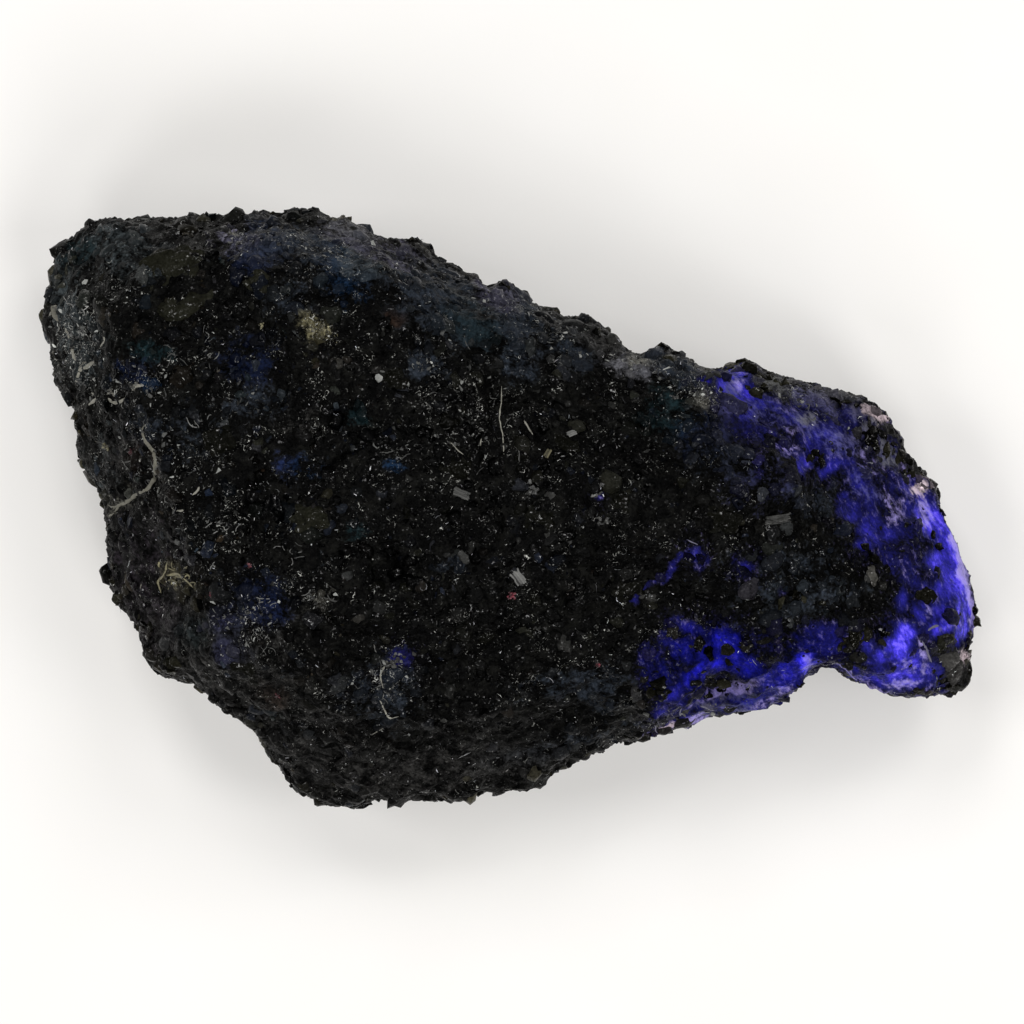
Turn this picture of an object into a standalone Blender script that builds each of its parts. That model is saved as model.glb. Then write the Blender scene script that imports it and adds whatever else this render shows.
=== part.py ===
"""A rough sapphire: one broken, tabular lump of corundum under a granular black crust.

The stone lies on a flat parting face. It is made as a stone is broken: a slab with the
stone's outline is split by leaning planes, knobs of crust are grown on its rim, the whole
is fused into one skin, roughened with cobbles, ledges and pits, and parted flat below.

Metres, +Z up, +X along the long side. The origin is the bottom centre of the bounding box.
"""

import math
from typing import NamedTuple

import bmesh
import bpy
import numpy as np
from mathutils import Matrix, Vector, noise

MM = 0.001
NODE_NAME = "rough_sapphire"

# Driving dimensions, in millimetres.
CROWN_HEIGHT = 17.2  # the broad faces of the top meet about here
GIRDLE_HEIGHT = 5.8  # where the outline is widest
GIRDLE_HALF_BAND = 0.7  # the outline stands upright this far above and below the girdle
PARTING_HEIGHT = 0.8  # what the flat parting face takes off the slab below
FUSE_VOXEL = 0.36
BLUNTING_PASSES = 4
FACE_BUDGET = 9200

# The outline at the girdle, clockwise seen from above, as (x, y).
WEST_END = [
    (-23.4, 9.9), (-23.2, 10.6), (-22.8, 11.9), (-22.9, 12.6),
    (-22.4, 13.2), (-21.9, 13.7), (-21.4, 14.3), (-20.7, 14.6),
]  # fmt: skip
NORTH_RIM = [
    (-19.2, 14.5), (-17.6, 14.8), (-16.2, 14.8), (-14.6, 14.6), (-13.0, 14.9),
    (-10.5, 14.9), (-9.2, 15.0), (-7.9, 14.4), (-6.0, 13.5),
    (-5.5, 13.6), (-4.6, 13.8), (-3.9, 13.5), (-3.6, 13.0), (-3.6, 12.6),
]  # fmt: skip
NORTH_EAST_EDGE = [
    (-2.9, 12.3), (-1.7, 11.6), (-0.9, 11.2), (-0.3, 11.5), (0.3, 11.1),
    (1.5, 10.3), (2.6, 9.9), (3.8, 9.7), (4.4, 9.2), (4.6, 8.9),
    (5.3, 8.7), (5.8, 8.1), (6.6, 7.8), (7.3, 8.1), (8.1, 8.1),
    (8.6, 7.7), (9.9, 7.1), (10.8, 7.2), (11.1, 7.5), (12.0, 7.4),
    (13.9, 6.7), (15.6, 6.0), (17.0, 5.8), (17.9, 5.7),
]  # fmt: skip
EAST_END = [
    (18.8, 4.9), (19.3, 4.0), (19.7, 3.6), (19.6, 3.0), (20.4, 2.3),
    (21.3, 1.4), (21.5, 0.6), (22.0, -0.5), (22.7, -1.9), (23.2, -3.4),
    (23.5, -4.7), (23.4, -5.8), (22.9, -7.0), (22.8, -7.9), (23.3, -8.8),
]  # fmt: skip
SOUTH_NOTCH = [
    (23.0, -9.1), (21.8, -9.1), (20.3, -9.4), (19.0, -9.3), (17.4, -8.7),
    (16.3, -8.1), (15.5, -7.9), (15.1, -8.2), (14.5, -9.1), (13.5, -9.9),
]  # fmt: skip
SOUTH_EDGE = [
    (11.8, -10.2), (9.8, -10.7), (7.9, -11.4), (6.3, -11.8), (4.8, -11.9),
    (3.3, -12.8), (2.3, -13.5), (1.5, -14.0), (0.5, -14.3), (-0.3, -14.2),
    (-1.5, -14.6), (-2.3, -14.7), (-3.5, -14.4), (-5.5, -14.7), (-7.1, -14.6),
    (-8.2, -15.0), (-9.2, -14.9),
]  # fmt: skip
SOUTH_WEST_EDGE = [
    (-10.1, -14.3), (-11.2, -13.6), (-11.9, -12.4), (-13.2, -10.7), (-14.2, -10.2),
    (-15.5, -9.1), (-16.4, -8.7), (-17.2, -8.5), (-18.0, -8.1), (-18.4, -7.1),
    (-18.6, -6.0), (-19.1, -5.3), (-19.8, -5.0), (-19.9, -4.0), (-20.2, -2.5),
    (-20.1, -1.3), (-20.3, 0.1), (-20.7, 1.2), (-21.5, 2.4), (-21.9, 4.0),
    (-21.8, 5.0), (-22.5, 6.2), (-22.8, 7.9), (-23.4, 8.8),
]  # fmt: skip
OUTLINE = (
    WEST_END + NORTH_RIM + NORTH_EAST_EDGE + EAST_END + SOUTH_NOTCH + SOUTH_EDGE + SOUTH_WEST_EDGE
)


class Lean(NamedTuple):
    """A broken side face that leans in from the outline, up or down from the girdle."""

    azimuth: float  # degrees, the way the face looks, 0 along +X
    slope: float  # degrees from level
    inset: float = 0.0  # how far inside the outline's furthest point it starts


class Broad(NamedTuple):
    """A broad face of the top or of the underside."""

    azimuth: float
    slope: float
    through: tuple  # a point on the face, (x, y, z)


class Knob(NamedTuple):
    """A lump of crust grown on the stone, a squashed ball."""

    centre: tuple  # x, y, z
    radii: tuple


SIDES_ABOVE = [
    Lean(92, 73),
    Lean(70.8, 71),
    Lean(60, 58),
    Lean(28.6, 48),
    Lean(-6, 57),
    Lean(-38, 50, 0.3),
    Lean(-79, 54),
    Lean(-97, 62),
    Lean(223, 70),
    Lean(245, 60, 0.2),
    Lean(195, 63),
    Lean(166, 66),
    Lean(144, 62),
]
SIDES_BELOW = [
    Lean(96, 64),
    Lean(70.8, 58),
    Lean(40, 47, 0.1),
    Lean(14, 36),
    Lean(-25, 40, 0.2),
    Lean(-79, 52),
    Lean(-101, 60),
    Lean(223, 58),
    Lean(192, 46),
    Lean(150, 54),
]
CROWN_FACES = [
    Broad(250, 2.5, (-3.0, 0.0, CROWN_HEIGHT)),
    Broad(-14, 16, (5.0, -2.0, 16.6)),
    Broad(-2, 27, (15.0, -2.0, 13.2)),
    Broad(165, 13, (-11.0, 4.0, 16.6)),
    Broad(74, 25, (-2.0, 7.4, 16.4)),
    Broad(58, 33, (11.0, 3.6, 13.6)),
    Broad(258, 21, (-6.0, -7.0, 16.4)),
    Broad(-72, 30, (11.0, -6.6, 12.8)),
    Broad(212, 26, (-14.6, -3.5, 15.6)),
]
BELLY_FACES = [
    Broad(4, 13, (10.5, -1.0, PARTING_HEIGHT)),
    Broad(-74, 17, (0.0, -8.6, PARTING_HEIGHT)),
    Broad(232, 17, (-10.5, -6.5, PARTING_HEIGHT)),
    Broad(184, 14, (-14.0, 2.0, PARTING_HEIGHT)),
    Broad(116, 16, (-8.5, 8.8, PARTING_HEIGHT)),
    Broad(64, 15, (2.5, 6.2, PARTING_HEIGHT)),
]
KNOBS = [
    Knob((-4.5, 12.9, 7.6), (1.0, 0.9, 1.2)),
    Knob((-0.2, 10.9, 7.0), (0.6, 0.6, 0.8)),
    Knob((5.0, 8.1, 7.2), (0.9, 0.8, 1.0)),
    Knob((7.8, 7.3, 7.4), (0.9, 0.8, 1.1)),
    Knob((12.4, 6.4, 6.8), (1.6, 0.9, 0.9)),
    Knob((17.1, 5.0, 6.2), (1.2, 0.8, 0.8)),
    Knob((19.0, 3.7, 6.0), (0.7, 0.7, 0.8)),
    Knob((20.7, 1.2, 6.0), (0.6, 0.6, 0.7)),
    Knob((22.1, -7.7, 6.2), (1.1, 1.2, 1.1)),
    Knob((22.9, -8.7, 5.8), (0.5, 0.4, 0.5)),
    Knob((-16.6, -7.4, 6.4), (1.4, 1.2, 1.8)),
    Knob((-18.9, -4.5, 6.8), (0.9, 0.9, 1.4)),
    Knob((-19.5, -3.2, 6.0), (0.8, 1.2, 1.1)),
    Knob((-22.0, 12.8, 6.2), (1.0, 1.1, 1.1)),
    Knob((-22.6, 9.6, 6.4), (0.8, 0.9, 1.1)),
    Knob((-21.2, 3.8, 6.0), (0.8, 1.1, 1.2)),
    Knob((-8.9, 14.1, 7.2), (1.1, 0.9, 1.0)),
    Knob((-13.6, 14.0, 7.0), (1.3, 0.9, 1.1)),
    Knob((-17.6, 13.9, 6.8), (1.2, 0.8, 1.2)),
    Knob((-8.6, -14.0, 6.0), (1.2, 0.9, 1.2)),
    Knob((-1.4, -13.5, 6.4), (1.3, 0.9, 1.0)),
]

# Relief, in millimetres: how wide each kind of form is, and how far it stands out.
SWELL_WIDTH, SWELL_DEPTH = 8.0, 0.50
COBBLE_WIDTH, COBBLE_DEPTH = 3.0, 0.42
LUMP_WIDTH, LUMP_DEPTH = 1.9, 0.20
LEDGE_RISE, LEDGE_DEPTH = 2.8, 0.55
LEDGE_LAY = Vector((0.22, -0.14, 0.97))  # the parting that the ledges follow lies across this
PIT_WIDTH, PIT_DEPTH = 4.6, 0.80
RIM_KEEP = 0.30  # the share of the relief that is kept on the outline itself
RIM_WIDTH, RIM_RISE = 1.8, 5.0  # how far in, and how far up or down, full relief starts


def clear_scene():
    for obj in list(bpy.data.objects):
        bpy.data.objects.remove(obj, do_unlink=True)


def direction(azimuth, slope, up=1.0):
    """The unit normal of a face that looks to azimuth and slopes that much from level."""
    a, s = math.radians(azimuth), math.radians(slope)
    return Vector((math.cos(a) * math.sin(s), math.sin(a) * math.sin(s), up * math.cos(s)))


def reach(azimuth):
    """How far the outline goes out in this direction."""
    a = math.radians(azimuth)
    return max(x * math.cos(a) + y * math.sin(a) for x, y in OUTLINE)


def slab():
    """The outline as a closed slab, taller than the stone."""
    curve = bpy.data.curves.new("outline", "CURVE")
    curve.dimensions = "2D"
    curve.fill_mode = "BOTH"
    curve.extrude = CROWN_HEIGHT
    spline = curve.splines.new("POLY")
    spline.points.add(len(OUTLINE) - 1)
    for point, (x, y) in zip(spline.points, OUTLINE):
        point.co = (x, y, 0.0, 1.0)
    spline.use_cyclic_u = True
    guide = bpy.data.objects.new("outline", curve)
    bpy.context.scene.collection.objects.link(guide)
    graph = bpy.context.evaluated_depsgraph_get()
    mesh = bpy.data.meshes.new_from_object(guide.evaluated_get(graph))
    bpy.data.objects.remove(guide)
    solid = bmesh.new()
    solid.from_mesh(mesh)
    bpy.data.meshes.remove(mesh)
    bmesh.ops.remove_doubles(solid, verts=solid.verts, dist=0.001)
    return solid


def split(solid, point, normal):
    """Splits the solid on a plane, drops what lies outside and closes the new face."""
    cut = bmesh.ops.bisect_plane(
        solid,
        geom=solid.verts[:] + solid.edges[:] + solid.faces[:],
        dist=1e-5,
        plane_co=point,
        plane_no=normal,
        clear_outer=True,
    )
    edges = [e for e in cut["geom_cut"] if isinstance(e, bmesh.types.BMEdge)]
    bmesh.ops.holes_fill(solid, edges=edges)


def break_faces(solid):
    """Gives the slab its broken sides, top and underside."""
    for sides, up in ((SIDES_ABOVE, 1.0), (SIDES_BELOW, -1.0)):
        start = Vector((0, 0, GIRDLE_HEIGHT + up * GIRDLE_HALF_BAND))
        for lean in sides:
            point = start + direction(lean.azimuth, 90) * (reach(lean.azimuth) - lean.inset)
            split(solid, point, direction(lean.azimuth, lean.slope, up))
    for faces, up in ((CROWN_FACES, 1.0), (BELLY_FACES, -1.0)):
        for face in faces:
            split(solid, Vector(face.through), direction(face.azimuth, face.slope, up))
    split(solid, Vector((0, 0, 0)), Vector((0, 0, -1)))


def grow_knobs(solid):
    for knob in KNOBS:
        place = Matrix.Translation(knob.centre) @ Matrix.Diagonal((*knob.radii, 1.0))
        bmesh.ops.create_icosphere(solid, subdivisions=2, radius=1.0, matrix=place)


def fused(solid):
    """The solid and its knobs as one even skin."""
    mesh = bpy.data.meshes.new("fused")
    bmesh.ops.triangulate(solid, faces=solid.faces)
    solid.to_mesh(mesh)
    solid.free()
    blank = bpy.data.objects.new("blank", mesh)
    bpy.context.scene.collection.objects.link(blank)
    skin = blank.modifiers.new("fuse", "REMESH")
    skin.mode = "VOXEL"
    skin.voxel_size = FUSE_VOXEL
    graph = bpy.context.evaluated_depsgraph_get()
    made = bpy.data.meshes.new_from_object(blank.evaluated_get(graph))
    bpy.data.objects.remove(blank)
    return made


def outline_distance(points):
    """How far each (x, y) lies from the outline."""
    ends = np.array(OUTLINE)
    starts = np.roll(ends, 1, axis=0)
    nearest = np.full(len(points), np.inf)
    for start, end in zip(starts, ends):
        along = end - start
        share = np.clip((points - start) @ along / (along @ along), 0.0, 1.0)
        gap = np.linalg.norm(points - start - share[:, None] * along, axis=1)
        nearest = np.minimum(nearest, gap)
    return nearest


def blocks(point, width):
    """A field of rounded blocks: 1 on a block's top, 0 in the crease between two."""
    gaps, _ = noise.voronoi(point / width)
    return min(1.0, 2.0 * (gaps[1] - gaps[0]))


def ledges(point, normal):
    """Steps along the parting: each stands out at its foot and falls back, in scattered runs."""
    bed = point.dot(LEDGE_LAY) / LEDGE_RISE + noise.noise(point / 7.0) * 1.2
    run = min(1.0, max(0.0, noise.noise(point / 6.5 + Vector((1.7, 9.2, 3.1))) * 3.0 + 0.3))
    return (0.5 - bed % 1.0) * run * (1.0 - abs(normal.z))


def relief(point, normal, keep):
    """How far the skin stands out at a point, of which the wide outline keeps a share."""
    swell = noise.fractal(point / SWELL_WIDTH, 0.7, 2.1, 3) * SWELL_DEPTH
    warped = point + noise.noise_vector(point / 3.0) * 0.7
    cobbles = (blocks(warped, COBBLE_WIDTH) - 0.6) * COBBLE_DEPTH
    lumps = (blocks(warped, LUMP_WIDTH) - 0.6) * LUMP_DEPTH
    steps = ledges(point, normal) * LEDGE_DEPTH
    hollow = noise.noise(point / PIT_WIDTH + Vector((7.3, 2.1, 4.4)))
    pit = max(0.0, hollow - 0.28) / 0.4 * PIT_DEPTH * (1.0 + min(0.0, normal.z))
    return keep * (swell + cobbles + lumps + steps - pit)


def roughen(mesh):
    """Blunts the edges, then moves each point of the skin out or in by the relief."""
    skin = bmesh.new()
    skin.from_mesh(mesh)
    for _ in range(BLUNTING_PASSES):
        bmesh.ops.smooth_vert(
            skin, verts=skin.verts, factor=0.5, use_axis_x=True, use_axis_y=True, use_axis_z=True
        )
    skin.normal_update()
    points = np.array([v.co for v in skin.verts])
    inward = outline_distance(points[:, :2]) / RIM_WIDTH
    upward = np.abs(points[:, 2] - GIRDLE_HEIGHT) / RIM_RISE
    keeps = RIM_KEEP + (1.0 - RIM_KEEP) * np.clip(np.maximum(inward, upward), 0.0, 1.0)
    moves = [v.normal * relief(v.co, v.normal, keep) for v, keep in zip(skin.verts, keeps)]
    for vert, move in zip(skin.verts, moves):
        vert.co += move
    skin.to_mesh(mesh)
    skin.free()


def thinned(mesh):
    """The mesh with no more triangles than the budget."""
    obj = bpy.data.objects.new("thick", mesh)
    bpy.context.scene.collection.objects.link(obj)
    mesh.calc_loop_triangles()
    thin = obj.modifiers.new("thin", "DECIMATE")
    thin.ratio = FACE_BUDGET / len(mesh.loop_triangles)
    thin.use_collapse_triangulate = True
    graph = bpy.context.evaluated_depsgraph_get()
    made = bpy.data.meshes.new_from_object(obj.evaluated_get(graph))
    bpy.data.objects.remove(obj)
    return made


def drop_crumbs(stone):
    """Keeps the one large body and drops any crumb that the parting left loose."""
    unseen = set(stone.verts)
    bodies = []
    while unseen:
        body, front = set(), [unseen.pop()]
        while front:
            vert = front.pop()
            body.add(vert)
            near = {edge.other_vert(vert) for edge in vert.link_edges} & unseen
            unseen -= near
            front.extend(near)
        bodies.append(body)
    bodies.sort(key=len)
    for crumb in bodies[:-1]:
        bmesh.ops.delete(stone, geom=list(crumb), context="VERTS")


def part_and_place(mesh):
    """Parts the stone flat below, puts its bottom centre at the origin and goes to metres."""
    stone = bmesh.new()
    stone.from_mesh(mesh)
    split(stone, Vector((0, 0, PARTING_HEIGHT)), Vector((0, 0, -1)))
    drop_crumbs(stone)
    bmesh.ops.triangulate(stone, faces=stone.faces)
    bmesh.ops.recalc_face_normals(stone, faces=stone.faces)
    points = np.array([v.co for v in stone.verts])
    low, high = points.min(axis=0), points.max(axis=0)
    middle = Vector(((low[0] + high[0]) / 2, (low[1] + high[1]) / 2, low[2]))
    bmesh.ops.translate(stone, verts=stone.verts, vec=-middle)
    bmesh.ops.scale(stone, verts=stone.verts, vec=(MM, MM, MM))
    stone.to_mesh(mesh)
    stone.free()


def crust_material():
    material = bpy.data.materials.new("black_crusted_sapphire")
    material.use_nodes = True
    shader = material.node_tree.nodes["Principled BSDF"]
    shader.inputs["Base Color"].default_value = (0.012, 0.013, 0.020, 1.0)
    shader.inputs["Roughness"].default_value = 0.5
    shader.inputs["Metallic"].default_value = 0.0
    return material


def build():
    clear_scene()
    solid = slab()
    break_faces(solid)
    grow_knobs(solid)
    mesh = fused(solid)
    roughen(mesh)
    mesh = thinned(mesh)
    part_and_place(mesh)
    mesh.name = NODE_NAME
    mesh.materials.append(crust_material())
    stone = bpy.data.objects.new(NODE_NAME, mesh)
    collection = bpy.data.collections.new(NODE_NAME)
    bpy.context.scene.collection.children.link(collection)
    collection.objects.link(stone)
    mesh.shade_smooth()
    mesh.set_sharp_from_angle(angle=math.radians(35))


build()
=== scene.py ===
"""A rough sapphire: near-black corundum under a crust of grains, with violet windows.

The stone's skin is a fine copy of its solid. Crust grains, glint slivers, pale seams, chips
and flakes are laid on it. Sizes are in millimetres until a mesh is made, then in metres.
"""

import logging
import math
from collections.abc import Iterable, Sequence
from dataclasses import dataclass, field
from enum import Enum
from typing import TypeVar

import bmesh
import bpy
import numpy as np
from mathutils import Matrix, Vector, noise
from mathutils.bvhtree import BVHTree


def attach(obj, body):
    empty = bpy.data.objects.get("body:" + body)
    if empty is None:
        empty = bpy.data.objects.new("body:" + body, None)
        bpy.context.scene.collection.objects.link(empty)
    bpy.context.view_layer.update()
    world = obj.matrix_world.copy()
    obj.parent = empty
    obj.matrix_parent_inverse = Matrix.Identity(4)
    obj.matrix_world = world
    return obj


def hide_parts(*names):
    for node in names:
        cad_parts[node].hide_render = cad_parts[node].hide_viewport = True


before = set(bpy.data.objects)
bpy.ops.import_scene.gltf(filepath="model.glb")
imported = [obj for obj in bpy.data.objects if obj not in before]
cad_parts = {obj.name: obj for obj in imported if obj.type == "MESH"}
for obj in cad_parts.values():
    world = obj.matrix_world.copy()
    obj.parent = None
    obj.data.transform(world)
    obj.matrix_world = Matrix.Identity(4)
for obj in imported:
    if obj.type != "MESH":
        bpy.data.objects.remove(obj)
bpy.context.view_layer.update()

LOG = logging.getLogger("rough_sapphire")
NODE = "rough_sapphire"
BODY = "root"
MM = 0.001
CREASE = 2.2
OFF_FLOOR = 0.01

Array = np.ndarray
Triple = tuple[float, float, float]
Form = tuple[Triple, Triple]
Line = tuple[tuple[float, float], ...]
Spot = tuple[Vector, Vector]
Template = tuple[Array, Array]
Row = TypeVar("Row")


def linear(red: float, green: float, blue: float) -> Array:
    """A display colour, 0 to 255 each, as linear light."""
    shown = np.array((red, green, blue)) / 255.0
    return np.where(shown <= 0.04045, shown / 12.92, ((shown + 0.055) / 1.055) ** 2.4)


def paint(red: float, green: float, blue: float) -> tuple[float, float, float, float]:
    """A display colour, 0 to 255 each, as the four numbers of a colour socket."""
    return (*linear(red, green, blue).tolist(), 1.0)


def eased(values: Array, low: float, high: float) -> Array:
    """0 below low, 1 above high, and a smooth rise between."""
    share = np.clip((values - low) / (high - low), 0.0, 1.0)
    return share * share * (3.0 - 2.0 * share)


def noise_at(points: Array, width: float, shift: float = 0.0) -> Array:
    """Smooth noise from -1 to 1.

    Args:
        points: The places, one row each.
        width: How wide one swell of the noise is.
        shift: Moves the noise, so that two calls give unlike fields.

    Returns:
        One number for each place.
    """
    scaled = (points + shift) / width
    return np.array([noise.noise(row) for row in scaled.tolist()])


def blocks_at(points: Array, width: float) -> Array:
    """Rounded blocks of about that width: 1 on a block's top and 0 in the crease round it."""
    found = (noise.voronoi(row)[0] for row in (points / width).tolist())
    return np.array([min(1.0, CREASE * (gaps[1] - gaps[0])) for gaps in found])


def unit(rows: Array) -> Array:
    """The rows at length one."""
    return rows / np.maximum(np.linalg.norm(rows, axis=1, keepdims=True), 1e-12)


def strongest(levels: Iterable[Array]) -> Array:
    """The greatest of several levels at each place."""
    return np.max(list(levels), axis=0)


def chance(seed: int) -> np.random.Generator:
    """A field that gives a class its own source of chance, the same at each run."""
    return field(default_factory=lambda: np.random.default_rng(seed))


def rows_of(
    items: bpy.types.bpy_prop_collection, name: str, width: int, kind: type = float
) -> Array:
    """One setting of all items of a mesh.

    Args:
        items: The mesh's points, edges, normals or triangles.
        name: The setting.
        width: How many numbers it has.
        kind: The type of its numbers.

    Returns:
        One row for each item.
    """
    values = np.empty(len(items) * width, kind)
    items.foreach_get(name, values)
    return values.reshape(-1, width)


def store_colours(mesh: bpy.types.Mesh, name: str, colours: Array) -> None:
    """Stores four numbers for each point of the mesh, as a colour of that name."""
    stored = mesh.color_attributes.new(name=name, type="FLOAT_COLOR", domain="POINT")
    stored.data.foreach_set("color", colours.ravel())


class Hue(Enum):
    """The dull colours that lie in or on the black crust, as display colours."""

    SLATE = (45, 51, 60)
    TEAL = (25, 41, 45)
    NAVY = (17, 25, 48)
    BLUE = (26, 36, 68)
    AZURE = (25, 46, 72)
    PERIWINKLE = (56, 64, 92)
    DUSK = (48, 50, 82)
    FROST = (74, 81, 84)
    PLUM = (52, 47, 53)
    HAZE = (92, 91, 148)
    SMOKE = (54, 53, 52)
    ASH = (108, 108, 114)
    OLIVE = (29, 29, 22)
    MOSS = (15, 15, 11)
    STEEL = (66, 66, 64)
    CREAM = (122, 120, 111)
    CHALK = (122, 123, 120)
    PUTTY = (98, 96, 86)
    QUARTZ = (98, 98, 96)
    YELLOW = (112, 107, 82)
    RUST = (44, 31, 22)
    RED = (86, 20, 34)
    LILAC = (90, 88, 106)
    PINK = (226, 206, 214)

    @property
    def light(self) -> Array:
        """The colour as linear light."""
        return linear(*self.value)


@dataclass(frozen=True)
class Oval:
    """A soft oval on the stone, placed in plan: middle, half-length, half-width and turn."""

    x: float
    y: float
    long: float
    wide: float
    turn: float

    def share(self, plan: Array, soft: float) -> Array:
        """How much of the oval each place has.

        Args:
            plan: The places in plan, one row each.
            soft: Half the width of the soft edge, as a share of the oval's radius.

        Returns:
            From 0 outside the oval to 1 well inside it, for each place.
        """
        angle = math.radians(self.turn)
        across = plan - (self.x, self.y)
        along = (across @ (math.cos(angle), math.sin(angle))) / self.long
        aside = (across @ (-math.sin(angle), math.cos(angle))) / self.wide
        return 1.0 - eased(np.hypot(along, aside), 1.0 - soft, 1.0 + soft)

    def spread(self, offsets: Array) -> Array:
        """Places round the oval's middle.

        Args:
            offsets: How far each lies along and across the oval, in millimetres.

        Returns:
            The places in plan, one row each.
        """
        angle = math.radians(self.turn)
        turn = np.array(((math.cos(angle), -math.sin(angle)), (math.sin(angle), math.cos(angle))))
        return (self.x, self.y) + offsets @ turn.T

    def grown(self, margin: float) -> "Oval":
        """The oval with a margin all round."""
        return Oval(self.x, self.y, self.long + margin, self.wide + margin, self.turn)


@dataclass(frozen=True)
class Window(Oval):
    """A place where the crust is thin or gone and violet light comes through."""

    glow: float


@dataclass(frozen=True)
class Hollow(Oval):
    """A place where the skin sinks in."""

    depth: float


@dataclass(frozen=True)
class Patch(Oval):
    """A dull patch of another colour in the crust."""

    hue: Hue
    level: float


@dataclass(frozen=True)
class Clump(Oval):
    """A knot of coarse crust grains."""

    count: int


@dataclass(frozen=True)
class Chip(Oval):
    """A single pale, red or steely grain set in the crust."""

    hue: Hue


@dataclass(frozen=True)
class Blade(Oval):
    """A splintery crystal of side-by-side ribs that run along its length."""

    ribs: int
    hue: Hue


@dataclass(frozen=True)
class Tangle(Oval):
    """A net of short wandering threads."""

    count: int
    thick: float
    hue: Hue


@dataclass(frozen=True)
class Streak:
    """A violet streak along a line of places in plan."""

    line: Line
    wide: float
    glow: float

    def share(self, plan: Array) -> Array:
        """How much of the streak each place has.

        Args:
            plan: The places in plan, one row each.

        Returns:
            From 0 beside the streak to 1 on it, for each place.
        """
        nearest = np.full(len(plan), np.inf)
        for start, end in zip(np.array(self.line[:-1]), np.array(self.line[1:])):
            along = end - start
            share = np.clip((plan - start) @ along / (along @ along), 0.0, 1.0)
            gap = np.linalg.norm(plan - start - share[:, None] * along, axis=1)
            nearest = np.minimum(nearest, gap)
        return 1.0 - eased(nearest / self.wide, 0.4, 1.5)


@dataclass(frozen=True)
class Seam:
    """A thin pale ribbon of mineral along a line of places in plan."""

    line: Line
    wide: float
    hue: Hue


@dataclass(frozen=True)
class Span:
    """A range of sizes, most of which are near the least: the more so, the greater the lean."""

    least: float
    most: float
    lean: float = 1.8

    def pick(self, count: int, rng: np.random.Generator) -> Array:
        """That many sizes by chance."""
        return self.least + (self.most - self.least) * rng.random(count) ** self.lean


def table(kind: type[Row], *rows: tuple) -> tuple[Row, ...]:
    """The rows as things of one kind, each given its values in order."""
    return tuple(kind(*row) for row in rows)


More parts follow.
